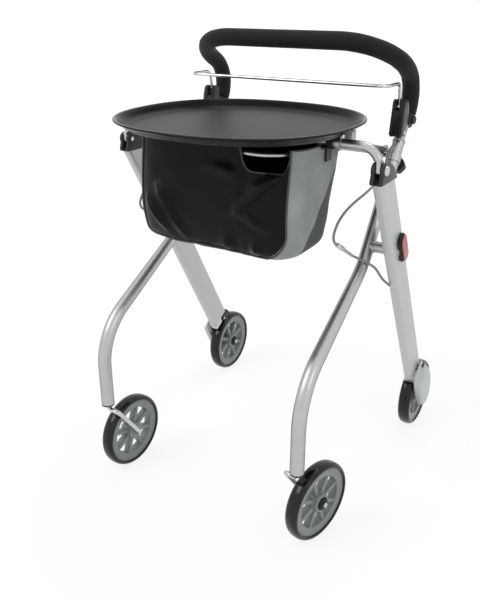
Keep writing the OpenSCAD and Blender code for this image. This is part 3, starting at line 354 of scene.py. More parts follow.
def lens_prisms():
    """Clear red lens with a field of small prisms."""
    n = new_material("lens_prisms")
    at = n.coordinates((1, 1, 1), LEG_TURN)
    cells = n.add("TexVoronoi", (at, "Vector"), Scale=330.0, Randomness=0.12)
    n.put(n.shade(tones().lens, n.span(cells.outputs["Distance"], 0, 1, 0, 0.7), 1.45, 0.45), "Base Color")
    n.put(n.span(n.speckle(60), 0.14, 0.26), "Roughness")
    n.put(n.bump(cells.outputs["Distance"], 0.8, 0.0008), "Normal")
    n.fixed(Coat_Weight=0.25, Coat_Roughness=0.08, Specular_IOR_Level=0.3)
    return n.owner


def finish(name):
    """The material of that name, made when it is first asked for."""
    made = bpy.data.materials.get(name)
    if made:
        return made
    for maker, table in ((moulded, MOULDED), (woven, WOVEN)):
        if name in table:
            *values, more = table[name]
            return maker(name, *values, **more)
    return {"tray_moulding": tray_moulding, "lens_prisms": lens_prisms}[name]()


# Shapes from bmesh operators

def verts_of(geom):
    return [g for g in geom if isinstance(g, bmesh.types.BMVert)]


def grow(bm, loop):
    """Extrudes a loop of edges in place and gives the new vertices and the new loop."""
    geom = bmesh.ops.extrude_edge_only(bm, edges=loop)["geom"]
    fresh = verts_of(geom)
    inside = set(fresh)
    return fresh, [g for g in geom if isinstance(g, bmesh.types.BMEdge) and inside.issuperset(g.verts)]


def tidy(bm):
    bmesh.ops.recalc_face_normals(bm, faces=bm.faces)
    return bm


def move(bm, place):
    bmesh.ops.transform(bm, matrix=place, verts=bm.verts)
    return bm


def soften(bm, geom, radius, segments=4, affect="EDGES", limit=False):
    """Rounds edges or corners. The radius is in millimetres."""
    bmesh.ops.bevel(bm, geom=geom, offset=radius * MM, offset_type="OFFSET", segments=segments, profile=0.5,
                    affect=affect, material=-1, clamp_overlap=limit)


def flat(points, corner=0.0, segments=10):
    """One face through points in millimetres, with rounded corners."""
    bm = bmesh.new()
    face = bm.faces.new([bm.verts.new(Vector(p) * MM) for p in points])
    if corner:
        soften(bm, face.verts[:], corner, segments, "VERTICES")
    return bm


def raised(bm, x=0, z=0):
    """Extrudes the faces, by millimetres, and gives the new vertices."""
    fresh = verts_of(bmesh.ops.extrude_face_region(bm, geom=bm.faces[:])["geom"])
    bmesh.ops.translate(bm, vec=(x * MM, 0, z * MM), verts=fresh)
    return fresh


def level_edges(bm, axis):
    """Edges square to an axis, by its number."""
    return [e for e in bm.edges if abs(e.verts[0].co[axis] - e.verts[1].co[axis]) < 1e-7]


def rounded_path(corners, radii, step=5):
    """Points along straight stretches that are joined by arcs, with radii in millimetres."""
    path = [corners[0]]
    for a, b, c, radius in zip(corners, corners[1:], corners[2:], radii):
        back, ahead = (a - b).normalized(), (c - b).normalized()
        inside = back.angle(ahead)
        start = b + back * radius * MM / math.tan(inside / 2)
        centre = b + (back + ahead).normalized() * radius * MM / math.sin(inside / 2)
        axis = (start - centre).cross(-back).normalized()
        count = max(3, math.ceil(math.degrees(math.pi - inside) / step))
        path += [centre + Matrix.Rotation((math.pi - inside) * k / count, 3, axis) @ (start - centre)
                 for k in range(count + 1)]
    return path + [corners[-1]]


def smooth_path(points, parts=6):
    """Points on a smooth curve through the given ones."""
    ends = [2 * points[0] - points[1]] + points + [2 * points[-1] - points[-2]]
    path = []
    for p0, p1, p2, p3 in zip(ends, ends[1:], ends[2:], ends[3:]):
        for k in range(parts):
            t = k / parts
            path.append(0.5 * ((2 * p1) + (p2 - p0) * t + (2 * p0 - 5 * p1 + 4 * p2 - p3) * t ** 2
                               + (3 * p1 - p0 - 3 * p2 + p3) * t ** 3))
    return path + [points[-1]]


def sweep(path, radius, sides=28):
    """Tube along a path: a circle that is extruded and moved on from point to point.

    radius is a number, or a function of the point and its share of the path that gives one or two."""
    last = len(path) - 1
    ahead = [(path[min(i + 1, last)] - path[max(i - 1, 0)]).normalized() for i in range(last + 1)]
    square = Vector((0, 1, 0)) if abs(ahead[0].y) < 0.5 else Vector((1, 0, 0))
    places = []
    for i, point in enumerate(path):
        square = (square - ahead[i] * square.dot(ahead[i])).normalized()
        wide = radius(point, i / last) if callable(radius) else radius
        wide, deep = wide if isinstance(wide, tuple) else (wide, wide)
        place = Matrix((square.cross(ahead[i]) * wide, square * deep, ahead[i])).transposed().to_4x4()
        places.append(Matrix.Translation(point) @ place)
    bm = bmesh.new()
    bmesh.ops.create_circle(bm, segments=sides, radius=1, matrix=places[0])
    loop = bm.edges[:]
    for before, after in zip(places, places[1:]):
        fresh, loop = grow(bm, loop)
        bmesh.ops.transform(bm, matrix=after @ before.inverted(), verts=fresh)
    bmesh.ops.holes_fill(bm, edges=bm.edges, sides=sides)
    return tidy(bm)


def turned(profile, place, steps=72, closed=False):
    """Turned shape: a profile of (radius, place along x) in millimetres, spun about x."""
    bm = bmesh.new()
    verts = [bm.verts.new((x * MM, 0, r * MM)) for r, x in profile]
    edges = [bm.edges.new(pair) for pair in zip(verts, verts[1:] + verts[:closed])]
    bmesh.ops.spin(bm, geom=verts + edges, cent=(0, 0, 0), axis=(1, 0, 0), angle=2 * math.pi, steps=steps,
                   use_merge=True)
    bmesh.ops.remove_doubles(bm, verts=bm.verts, dist=1e-6)
    return tidy(move(bm, place))


def slab(outline, low, high, place, corner=0.0, edge=1.0):
    """Plate: an outline of (y, z) from low to high along x, in millimetres, with rounds."""
    bm = flat([(low, y, z) for y, z in outline], corner)
    raised(bm, x=high - low)
    tidy(bm)
    if edge:
        soften(bm, level_edges(bm, 0), edge, limit=True)
    return tidy(move(bm, place))


def box_outline(y0, y1, z0, z1):
    return [(y0, z0), (y1, z0), (y1, z1), (y0, z1)]


def round_bar(start, end, radius, sides=32, edge=0.12):
    """Short bar with softened ends, its radius in millimetres."""
    radius *= MM
    soft = min(radius * edge, (end - start).length / 4)
    along = (end - start).normalized() * soft
    path = [start, start + along * 0.3, start + along, end - along, end - along * 0.3, end]
    shares = [1 - edge, 1 - edge * 0.4, 1, 1, 1 - edge * 0.4, 1 - edge]
    return sweep(path, lambda p, t: radius * shares[min(range(6), key=lambda k: (path[k] - p).length)], sides)


def mesh_of(name, bm):
    mesh = bpy.data.meshes.new(name)
    bm.to_mesh(mesh)
    bm.free()
    return mesh


def join(*parts):
    """One bmesh from several, each a bmesh or a pair of a bmesh and its material's number."""
    whole = bmesh.new()
    for part in parts:
        bm, number = part if isinstance(part, tuple) else (part, None)
        if number is not None:
            for face in bm.faces:
                face.material_index = number
        spare = mesh_of("spare", bm)
        whole.from_mesh(spare)
        bpy.data.meshes.remove(spare)
    return whole


def mirror(bm):
    bmesh.ops.scale(bm, vec=(-1, 1, 1), verts=bm.verts)
    bmesh.ops.reverse_faces(bm, faces=bm.faces)
    return bm


def placed(thing):
    bpy.context.scene.collection.objects.link(thing)
    return thing


def piece(name, bm, finishes, body, slot, sharp=35, solid=True):
    """Makes a finished piece that moves with the body of that name, or stays fixed where it is when body is
    not a name, and stands for the solid of its name, if there is one.
    """
    mesh = mesh_of(name, bm)
    for each in ([finishes] if isinstance(finishes, str) else finishes):
        mesh.materials.append(finish(each))
    mesh.polygons.foreach_set("use_smooth", [True] * len(mesh.polygons))
    mesh.set_sharp_from_angle(angle=math.radians(sharp))
    thing = placed(bpy.data.objects.new(name, mesh))
    if isinstance(body, str):
        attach(thing, body)
    else:
        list(body)
        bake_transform(thing)
    if solid:
        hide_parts(name)
    return thing


def pair(name, build, finishes, body, slot, **more):
    """A left and a right piece for the solids of the same names, where build gives the right one."""
    for side, sign in SIDES:
        bm = build() if sign > 0 else mirror(build())
        piece(f"{name}_{side}", bm, finishes, body.format(side=side), slot, **more)


def twins(build):
    return join(build(), mirror(build()))


def dress(finish_name, *nodes):
    for name in nodes:
        NODES[name].data.materials.clear()
        NODES[name].data.materials.append(finish(finish_name))


class WalkerOperator:
    bl_options = {"REGISTER", "UNDO"}

    def execute(self, context):
        self.build(context.scene.walker_sizes)
        return {"FINISHED"}


# Front frame and casters

class WALKER_OT_front_tubes(WalkerOperator, bpy.types.Operator):
    """Two bent front tubes with their welded pivot stubs"""
    bl_idname = "walker.front_tubes"
    bl_label = "Front Tubes"

    def build(self, size):
        low, high = size.lower_tube / 2, size.upper_tube / 2
        bend_z, bend_r = 318, 120
        taper_start, taper_end = 355, 433
        stem = Vector(JOINTS["caster_swivel_right"]["pos_m"])
        bend = Vector((stem.x, stem.y, bend_z * MM))
        path = rounded_path([stem, bend, up_tube(-42), up_tube(202)], [bend_r, bend_r], 3)

        def radius(point, share):
            taper = (point.z / MM - taper_start) / (taper_end - taper_start)
            return low + (high - low) * clamp(taper)

        def tube():
            at = Matrix.Translation(PIVOT)
            stub = turned([(0, 2), (10, 2), (10, 36.5), (9.4, 37), (5, 37)], at)
            bead = turned([(9.5, 10), (11.2, 10.4), (11.6, 11.4), (11, 12.4), (9.5, 13.2)], at)
            return join(sweep(path, radius, 40), stub, bead)

        pair("front_tube", tube, "silver_paint", "front_frame", "frame_paint")


class WALKER_OT_casters(WalkerOperator, bpy.types.Operator):
    """Bent rods that carry the front wheels"""
    bl_idname = "walker.casters"
    bl_label = "Casters"

    def build(self, size):
        rise, drop, offset, end, bend_r = 40, 13.5, 27, 16.8, 10
        for side, sign in SIDES:
            roll = JOINTS["front_wheel_roll_" + side]
            stem, hub = Vector(JOINTS["caster_swivel_" + side]["pos_m"]), Vector(roll["pos_m"])
            axle = Vector(roll["axis"]) * sign
            turn = stem - mm(0, 0, drop)
            beside = -offset * MM * axle
            corners = [stem + mm(0, 0, rise), turn, turn + beside, hub + beside, hub + end * MM * axle]
            path = rounded_path(corners, [bend_r] * 3)
            piece("caster_rod_" + side, sweep(path, size.caster_rod / 2), "zinc_plate", "caster_" + side,
                  "zinc_steel")


class WALKER_OT_wheels(WalkerOperator, bpy.types.Operator):
    """Tyres, spoked rims and hub caps of the four wheels"""
    bl_idname = "walker.wheels"
    bl_label = "Wheels"

    def build(self, size):
        def even(profile):
            """The profile and its mirror image, back to the first point."""
            return profile + [(radius, -x) for radius, x in reversed(profile)]

        r, w = size.wheel / 2 / MM, size.tyre_width / 2 / MM
        tread = [(r - 9, -w + 1.2), (r - 8, -w + 0.3), (r - 6.4, -w), (r - 4, -w + 0.8), (r - 1.8, -w + 3.2),
                 (r - 0.5, -w + 6.6), (r, -w + 10.4)]
        inner = r - 9.1
        ring = [(inner, -10), (inner - 0.6, -10.4), (inner - 5, -10.4), (inner - 6, -9.4),
                (inner - 14.8, -8.8), (inner - 16, -7.6)]
        hub = [(4.6, -14), (15.5, -14), (17, -13), (18, -11)]
        cap = [(0, 20.6), (4, 20.5), (7.6, 20.2), (10, 19), (11.6, 17.4), (12.4, 15.4), (12.5, 14.1),
               (4.6, 14.1)]
        spoke = [(-5.4, 15), (5.4, 15), (3, inner - 14), (-3, inner - 14)]
        spoke_half, first_spoke = 7.2, 0.4
        head_r, head_depth, head_x = (5.2, 4.6), 2.6, 21
        for end, side, sign in [(end, *each) for end in ("front", "rear") for each in SIDES]:
            joint = JOINTS[f"{end}_wheel_roll_{side}"]
            wheel = f"{end}_wheel_{side}"
            tyre_name, rim_name, cap_name = (f"{end}_{part}_{side}" for part in ("tyre", "rim", "hub_cap"))
            along = Vector(joint["axis"]) * (sign if end == "front" else -sign)
            up = Vector((0, 0, 1))
            basis = Matrix((along, up.cross(along), up)).transposed().to_4x4()
            place = Matrix.Translation(joint["pos_m"]) @ basis
            piece(tyre_name, turned(even(tread), place, 128, True), "rubber_tread", wheel, "tyre_rubber")
            turns = [2 * math.pi * (k + first_spoke) / size.spokes for k in range(size.spokes)]
            spokes = [slab(spoke, -spoke_half, spoke_half, place @ Matrix.Rotation(turn, 4, "X"), edge=1.4)
                      for turn in turns]
            rim = join(turned(even(ring), place, 96, True), turned(even(hub), place, 64, True), *spokes)
            piece(rim_name, rim, "rim_moulding", wheel, "rim_plastic")
            bolt = bmesh.new()
            bmesh.ops.create_cone(bolt, cap_ends=True, segments=6, radius1=head_r[0] * MM,
                                  radius2=head_r[1] * MM, depth=head_depth * MM,
                                  matrix=place @ shift(head_x, 0, 0)
                                  @ Matrix.Rotation(math.pi / 2, 4, "Y"))
            soften(bolt, bolt.edges[:], 0.35, 2)
            dome = join((turned(cap, place, 48, True), 0), (bolt, 1))
            piece(cap_name, dome, ["black_moulding", "zinc_plate"], wheel, "black_plastic")


# Rear legs

class WALKER_OT_rear_legs(WalkerOperator, bpy.types.Operator):
    """Flat legs, their clevis caps and pins, reflectors and brake covers"""
    bl_idname = "walker.rear_legs"
    bl_label = "Rear Legs"

    def build(self, size):
        x = LEG_X / MM
        thick, wide, low = 9, 28, 94
        clevis_rise, cap_drop, cap_half, head_r, bulge = 195, 31, 30, 12, 8
        cheek_thick, plug_half = 7.1, 5.5
        pin_y, pin_z = -8, LEG_REACH / MM + clevis_rise
        high = pin_z - cap_drop
        slope = -LEG_DIR.y / LEG_DIR.z

        def leg():
            bm = flat([(x - thick, -wide, low), (x + thick, -wide, low), (x + thick, wide, low),
                       (x - thick, wide, low)], corner=7)
            raised(bm, z=high - low + 40)
            move(bm, LEG)
            bmesh.ops.bisect_plane(bm, geom=bm.verts[:] + bm.edges[:] + bm.faces[:], plane_no=(0, 0, 1),
                                   plane_co=LEG @ Vector((0, 0, high * MM)), clear_outer=True)
            bmesh.ops.holes_fill(bm, edges=bm.edges, sides=100)
            return tidy(bm)

        pair("rear_leg", leg, "anodised_leg", "rear_legs", "leg_aluminium", sharp=50)

        slot = pin_z - head_r
        front, rear = high + cap_half * slope, high - cap_half * slope
        turns = [math.radians(a) for a in range(36, 181, 9)]
        head = [(pin_y + head_r * math.cos(a), pin_z + head_r * math.sin(a)) for a in turns]
        base, top = Vector((cap_half, rear + 6)), Vector((pin_y + 7.2, pin_z + 9.6))
        out = Vector((top.y - base.y, base.x - top.x)).normalized() * bulge
        brow = [tuple(base.lerp(top, k / 8) + out * math.sin(math.pi * k / 8)) for k in range(8)]
        foot = [(-cap_half, front), (cap_half, rear)]
        cheek = [(-cap_half, front + 4)] + foot + brow + head
        plug = [(-cap_half, slot)] + foot + [brow[0], brow[2], (21, slot)]

        def cap():
            cheeks = [slab(cheek, x + start, x + start + cheek_thick, LEG, edge=2.2) for start in (-11, 3.9)]
            return join(*cheeks, slab(plug, x - plug_half, x + plug_half, LEG, edge=0.4))

        pair("leg_cap", cap, "graphite_moulding", "rear_legs", "dark_plastic")

        pin = [(0, -11.6), (3.6, -11.6), (4, -11.2), (4, 11.1), (8, 11.1), (8, 12.4), (7.4, 13.8), (5.6, 14.8),
               (4.8, 14.9), (4.4, 14.2), (3.6, 14), (0, 14)]
        pins = twins(lambda: turned(pin, LEG @ shift(x, pin_y, pin_z), 48))
        piece("clevis_pins", pins, "zinc_plate", "rear_legs", "zinc_steel")

        mid = LEG_REACH / MM
        shell = box_outline(-4, 24, mid - 31, mid + 31)
        window = box_outline(-1.5, 21.5, mid - 28.5, mid + 28.5)

        shells = twins(lambda: slab(shell, x + 9.05, x + 15.4, LEG, corner=12.5, edge=2.4))
        lenses = twins(lambda: slab(window, x + 15.45, x + 18, LEG, corner=11, edge=2.2))
        piece("reflector_housings", shells, "black_moulding", "rear_legs", "black_plastic")
        piece("reflector_lenses", lenses, "lens_prisms", "rear_legs", "red_lens")

        base, depth, outer_share = 267, 12.9, 88 / 104
        outline = [(-34, 96.7), (-35.6, 31), (-29.4, 0), (-9.3, -14.5), (12.4, -10.4), (26.4, 18.7), (31, 52),
                   (27.9, 81), (18.6, 108)]
        recess = [(8, 94), (16, 94), (18, 101.6), (8, 101.2)]

        def cover():
            bm = flat([(base, y, z) for y, z in outline], corner=5, segments=8)
            bmesh.ops.scale(bm, vec=(1, 1, outer_share), verts=raised(bm, x=depth))
            tidy(bm)
            soften(bm, level_edges(bm, 0), 1.6, limit=True)
            return join((tidy(move(bm, LEG)), 0), (slab(recess, base + 2.8, base + 7.6, LEG, edge=0.3), 1))

        pair("brake_cover", cover, ["pale_moulding", "black_moulding"], "rear_legs", "cover_plastic")


# Handle and brake bar

class WALKER_OT_handle(WalkerOperator, bpy.types.Operator):
    """Foam grip, brake bar and height knobs"""
    bl_idname = "walker.handle"
    bl_label = "Handle"

    def build(self, size):
        bend_r, corner_r = 53, 95
        apex, start = up_tube(320), up_tube(259)
        front = apex + mm(0, -146, 79)
        path = rounded_path(across(start, apex, front), [bend_r, corner_r, corner_r, bend_r], 4)
        lip = TUBE_DIR * 2.2 * MM
        path = [path[0], path[0] + lip * 0.3, path[0] + lip] + path[1:-1]
        path += [path[0] * FLIP + lip, path[0] * FLIP + lip * 0.3, path[0] * FLIP]
        last = len(path) - 1
        ends = {0: 0.88, 1: 0.96, last - 1: 0.96, last: 0.88}

        def foam(point, share):
            ripple = noise.noise(point * 60) * 0.35 * MM
            return size.foam / 2 * ends.get(round(share * last), 1) + ripple - 0.3 * MM

        piece("handle_grip", sweep(path, foam, 40), "foam_skin", "handle", "foam", sharp=60)

        foot = Vector((201 * MM, BARREL.y, BARREL.z))
        corners = across(foot, foot + mm(0, -8, 42), foot + mm(0, -75, 43))
        bar = sweep(rounded_path(corners, [14, 20, 20, 14], 6), size.brake_wire / 2, 24)
        half = mm(6, 0, 0)
        barrels = [round_bar(end - half, end + half, 5) for end in (foot * FLIP, foot)]
        piece("brake_bar", join(bar, *barrels), "chrome_plate", "brake_bar", "chrome_wire")

        lobes, rows, lobe_depth = 6, 60, 0.085
        knob_r, knob_high, knob_foot = 14.4, 15.6, 23.6
        side = Vector((1, 0, 0))
        outward = Matrix((side, TUBE_BACK.cross(side), TUBE_BACK)).transposed().to_4x4()
        place = Matrix.Translation(up_tube(169)) @ outward

        def knob():
            bm = bmesh.new()
            bmesh.ops.create_circle(bm, segments=rows, radius=knob_r * MM, cap_ends=True)
            for vert in bm.verts:
                turn = math.atan2(vert.co.y, vert.co.x)
                share = 1 - lobe_depth * (0.5 - 0.5 * math.cos(lobes * turn))
                bmesh.ops.scale(bm, vec=[share] * 3, verts=[vert])
            raised(bm, z=knob_high)
            tidy(bm)
            soften(bm, level_edges(bm, 2), 2.2)
            move(bm, place @ shift(0, 0, knob_foot))
            shank = round_bar(place @ mm(0, 0, 11.6), place @ mm(0, 0, 24.5), 4)
            badge = round_bar(place @ mm(0, 0, 38.5), place @ mm(0, 0, 39.7), 8.6)
            return join((tidy(bm), 0), (shank, 1), (badge, 1))

        pair("height_knob", knob, ["black_moulding", "zinc_plate"], "knob_{side}", "black_plastic")


class WALKER_OT_brake_levers(WalkerOperator, bpy.types.Operator):
    """Lever housings with their clamps, side plates and screws"""
    bl_idname = "walker.brake_levers"
    bl_label = "Brake Levers"

    def build(self, size):
        block = box_outline(-12.2, 12.2, 0.3, 66.6)
        lower = box_outline(-11.6, 11.6, 1.0, 47.5)
        band = [(9.65, -10.6), (14.2, -10.6), (15, -9.6), (15, 9.6), (14.2, 10.6), (9.65, 10.6)]
        ring = TUBE @ shift(0, 0, 247.6)
        along = Matrix.Rotation(math.pi / 2, 4, "Y")

        def housing():
            return join(slab(block, -10.9, -4.5, LEVER, corner=7, edge=2.6),
                        slab(block, 2.5, 10.9, LEVER, corner=7, edge=2.6),
                        slab(lower, -5.5, 3.5, LEVER, corner=5, edge=0.4),
                        turned(band, ring @ along, 56, True),
                        slab(box_outline(-29, -12, -8.6, 8.6), -8.6, 4.6, ring, edge=1))

        pair("lever_housing", housing, "black_moulding", "handle", "black_plastic")

        outline = [(-9.5, 3), (5, 3), (10.4, 20), (10.4, 48), (1, 65), (-6, 65), (-9.8, 50)]

        def plate():
            face = slab(outline, 11.1, 14.4, LEVER, corner=4.5, edge=1.2)
            head = turned([(0, 15.4), (2.6, 15.4), (3.4, 14.9), (3.6, 14.3), (0, 14.3)],
                          LEVER @ shift(0, 2, 9), 32)
            return join((face, 0), (head, 1))

        piece("lever_plates", twins(plate), ["plate_moulding", "zinc_plate"], "handle", "dark_plastic")

        screw = [(0, 16.6), (3, 16.6), (3.4, 18.6), (6.4, 18.7), (7.3, 18), (7.5, 16.6), (7.5, 13), (0, 13)]
        screws = twins(lambda: turned(screw, ring, 48))
        piece("clamp_screws", screws, "graphite_moulding", "handle", "black_plastic")


# Tray, its frame and the bag

def squarish(half_x, half_y, power, angle):
    """Point of a rounded box round the origin."""
    c, s = math.cos(angle), math.sin(angle)
    x, y = (math.copysign(abs(part) ** (2 / power), part) for part in (c, s))
    return half_x * x, half_y * y


def hoops(count, rings):
    """Shell from rings, each a function that places a point for its angle. Gives the shell and its angles."""
    bm = bmesh.new()
    bmesh.ops.create_circle(bm, segments=count, radius=1)
    angle = {v: math.atan2(v.co.y, v.co.x) for v in bm.verts}
    for vert in bm.verts:
        vert.co = rings[0](angle[vert])
    loop = bm.edges[:]
    for ring in rings[1:]:
        fresh, loop = grow(bm, loop)
        angle.update({vert: next(angle[e.other_vert(vert)] for e in vert.link_edges
                                 if e.other_vert(vert) in angle) for vert in fresh})
        for vert in fresh:
            vert.co = ring(angle[vert])
    return bm, angle


class WALKER_OT_tray(WalkerOperator, bpy.types.Operator):
    """Oval tray with a flared rim"""
    bl_idname = "walker.tray"
    bl_label = "Tray"

    def build(self, size):
        section = [(60, 0), (27, 0), (26.4, -0.1), (26, -0.45), (25.2, -0.45), (24.8, -0.1), (24, 0.1),
                   (21.8, 0.6), (19, 1.6), (16.4, 3.2), (14, 5.3), (11.6, 8), (9.4, 10.4), (7.4, 12.3),
                   (5.4, 13.7), (4, 14.3), (2.7, 14.5), (1.6, 14.4), (0.7, 13.8), (0.2, 12.9), (0.1, 12),
                   (0.5, 11.1), (1.6, 10.5), (4.4, 9.9), (7.4, 9), (9.4, 7.4), (12.4, 4.4), (15, 1.8),
                   (18, -0.2), (21, -1.5), (25, -2.2), (30, -2.35), (60, -2.35)]

        def ring(inset, z):
            def place(angle):
                x, y = squarish(size.tray_width - inset * MM, size.tray_length - inset * MM, 2.3, angle)
                return Vector((x, TRAY_Y + y, TRAY_FLOOR + z * MM))
            return place

        bm, _ = hoops(192, [ring(*step) for step in section])
        bmesh.ops.holes_fill(bm, edges=bm.edges, sides=192)
        piece("tray", tidy(bm), "tray_moulding", "tray", "tray_plastic", sharp=60)


class WALKER_OT_tray_frame(WalkerOperator, bpy.types.Operator):
    """Crossbar with flattened ends, and the rods that hold the bag"""
    bl_idname = "walker.tray_frame"
    bl_label = "Tray Frame"

    def build(self, size):
        radius = size.crossbar / 2
        thin, wide, eye_r = 3.5, 7.9, 8
        press_low, press_high = CLEVIS.z + 11 * MM, CLEVIS.z + 17 * MM
        end = Vector((LEG_X, CLEVIS.y, CLEVIS.z))
        knee = Vector((LEG_X, CLEVIS.y, CROSSBAR_Z))
        path = rounded_path(across(end, knee), [33, 33], 3)
        path = [p for p in path if p.z > CLEVIS.z + 7 * MM]

        def section(point, share):
            press = clamp((press_high - point.z) / (press_high - press_low))
            return radius + (thin * MM - radius) * press, radius + (wide * MM - radius) * press

        def tongue():
            turns = [math.radians(a) for a in range(180, 361, 12)]
            eye = [(eye_r * math.cos(a), eye_r * math.sin(a)) for a in turns]
            return slab(eye + [(7.8, 14), (-7.8, 14)], -thin, thin, Matrix.Translation(end), edge=0.8)

        piece("tray_crossbar", join(sweep(path, section, 32), twins(tongue)), "silver_paint", "tray_frame",
              "frame_paint")

        back = Vector((148 * MM, CLEVIS.y, CROSSBAR_Z - 11.9 * MM))
        front = back - mm(0, 92, 0)
        hoop = sweep(rounded_path(across(back, front), [69] * 2, 5), size.bag_rod / 2, 20)
        low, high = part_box("bag_frame")
        rear = Vector((0, CLEVIS.y + 96 * MM, low.z + 3 * MM))
        bar = round_bar(rear + Vector((low.x, 0, 0)), rear + Vector((high.x, 0, 0)), 3, 20)
        piece("bag_frame", join(hoop, bar), "silver_paint", "tray_frame", "frame_paint")


def lay_cloth(bm, spread):
    """Lays out the weave, by a function of a face and a point."""
    layer = bm.loops.layers.uv.new("cloth")
    for face in bm.faces:
        for loop in face.loops:
            loop[layer].uv = spread(face, loop.vert.co)


class WALKER_OT_bag(WalkerOperator, bpy.types.Operator):
    """Cloth bag with grey sides, piped seams and a grip opening"""
    bl_idname = "walker.bag"
    bl_label = "Bag"

    def build(self, size):
        mouth = CROSSBAR_Z - 7.9 * MM
        tall = 178 * MM
        bottom = mouth - tall
        lip_front, lip_rear = CLEVIS.y - 100.2 * MM, CLEVIS.y + 92.6 * MM
        wall, belly, taper, front_foot = 1.6 * MM, 12 * MM, 40 * MM, 4 * MM

        def half_width(t):
            return 148 + 14 * t ** 0.5

        def opening(x):
            """Share of the grip opening's depth at a place across the front."""
            start, end = 60 * MM, 141 * MM
            if not start < x < end:
                return 0
            left, right = max(0, 1 - (x - start) / (24 * MM)), max(0, 1 - (end - x) / (9 * MM))
            return max(0, 1 - left ** 2.4) ** 0.42 * max(0, 1 - right ** 2.4) ** 0.42

        def spot(angle, t, inset=0.0):
            """Point of the outside for an angle round the bag and a share of its height."""
            half = half_width(t) * MM - inset
            front = lip_front - belly * math.sin(math.pi * (1 - t) ** 1.4) + front_foot * (1 - t) ** 6 + inset
            rear = lip_rear - taper * (1 - t) ** 1.2 - inset
            deep = (rear - front) / 2
            x, y = squarish(half, deep, 5, angle)
            top = mouth + 7 * MM * clamp((-y - 16 * MM) / (12 * MM))
            if y < 0:
                top -= 37 * MM * opening(x) * clamp((-y / deep - 0.75) * 6)
            return Vector((x, (front + rear) / 2 + y, bottom + (top - bottom) * t))

        creases = [(-97, 73, -47, 154), (58, 93, 111, 45), (58, 93, 113, 118), (-19, 141, -15, 172),
                   (40, 142, 35, 171), (92, 145, 88, 167), (-123, 101, -86, 144), (79, 57, 139, 27),
                   (53, 38, 15, 25)]
        creases = [(mm(*crease[:2]), mm(*crease[2:])) for crease in creases]

        def ridge(point):
            """Height of the creases in the front, from their lines across and down from the mouth."""
            here = Vector((point.x, mouth - point.z))
            height = 0
            for start, end in creases:
                along = end - start
                share = clamp((here - start).dot(along) / along.length_squared)
                gap = (here - start - along * share).length / (8 * MM)
                height += math.exp(-gap * gap) * (0.4 + 0.6 * math.sin(math.pi * share))
            return min(height, 1.2)

        def drape(point, angle, t):
            """Cloth folds: slack waves that die out at the seams and the mouth, and creases in the front."""
            corner = abs(math.sin(2 * angle))
            slack = math.sin(math.pi * min(1, t * 1.05)) * (1 - 0.85 * corner ** 3)
            waves = (0.55 * noise.noise(Vector((point.x * 16, point.z * 9, 3.1)))
                     + 0.45 * noise.noise(Vector((point.x * 30 + point.z * 38, point.y * 20, 7.7)))
                     + 0.35 * math.sin(point.x * 62 - point.z * 95 + 1.1) * (1 - t))
            out = Vector((point.x * 0.4, point.y - CLEVIS.y, 0)).normalized()
            folds = waves * slack
            if math.sin(angle) < -0.6:
                folds += 2.2 * ridge(point) * min(1, 8 * t)
                sag = noise.noise(Vector((point.x * 22, 0, 5))) * max(0, 1 - 4 * t)
                point = point + mm(0, 0, 3 * sag)
            return point + out * (folds * size.fold_depth - 0.4 * MM)

        def edge(t):
            """How far the round at the bottom draws a ring in."""
            return 20 * MM * (1 - math.sqrt(1 - max(0, 1 - t / 0.115) ** 2))

        def ring(t, inset=0.0):
            return lambda angle: drape(spot(angle, t, inset), angle, t)

        def seam(t, side):
            """Angle of a seam beside the front panel, whose lower corners are round."""
            reach, wide = (0.3, 141) if side > 0 else (0.12, 143)
            x = wide - 45 * max(0, 1 - t / reach) ** 2.2
            turn = math.acos(min(1, x / half_width(t)) ** 2.5)
            return 2 * math.pi - turn if side > 0 else math.pi + turn

        rows = 44
        rings = [ring(0, 40 * MM)] + [ring(t, edge(t)) for t in (0, 0.008, 0.03, 0.06, 0.09)]
        rings += [ring(0.115 + 0.885 * k / rows) for k in range(rows + 1)]
        columns = 400
        bm, angle = hoops(columns, rings)
        floor = [e for e in bm.edges if e.is_boundary and e.verts[0].co.z < bottom + tall / 2]
        base = bmesh.ops.edgeloop_fill(bm, edges=floor)["faces"]
        lay_cloth(bm, lambda face, p: (p.x, p.y) if face in base else (p.x + p.y, p.z))
        rear_seam = math.radians(45)
        for face in bm.faces:
            if face in base:
                continue
            turn = Vector((0, 0))
            for vert in face.verts:
                turn += Vector((math.cos(angle[vert]), math.sin(angle[vert])))
            side = math.copysign(1, turn.x)
            back = math.atan2(turn.y, abs(turn.x))
            t = clamp((face.calc_center_median().z - bottom) / tall)
            front = seam(t, 1) - 2 * math.pi if side > 0 else math.pi - seam(t, -1)
            if front < back < rear_seam:
                face.material_index = 1

        def corner_line(t):
            """Point on the line over the lower rear corner of a side, which gets a darker copy of the grey
            cloth: painted shade, and darker cloth there as well.
            """
            return spot(-math.pi / 2, t).lerp(spot(math.pi / 2, t), 0.20 + 0.82 * t)

        start = corner_line(0)
        rise = corner_line(0.6) - start
        outward = Vector((0, rise.z, -rise.y))
        panels = [face for face in bm.faces if face.material_index == 1]
        panels = list(dict.fromkeys(g for face in panels for g in (*face.verts, *face.edges, face)))
        bmesh.ops.bisect_plane(bm, geom=panels, plane_co=start, plane_no=outward)
        # Faces behind that line get the darker grey cloth: painted shade where the lower rear corner turns in
        # away from the light, partly darker cloth.
        for face in bm.faces:
            if face.material_index == 1 and (face.calc_center_median() - start).dot(outward) > 0:
                face.material_index = 2
        tidy(bm)
        thing = piece("bag", bm, ["black_cloth", "grey_cloth", "shade_cloth", "black_cloth"], "tray_frame",
                      "bag_fabric", sharp=70)
        thick = thing.modifiers.new("cloth", "SOLIDIFY")
        thick.thickness = wall
        thick.offset = -1
        thick.material_offset = 3

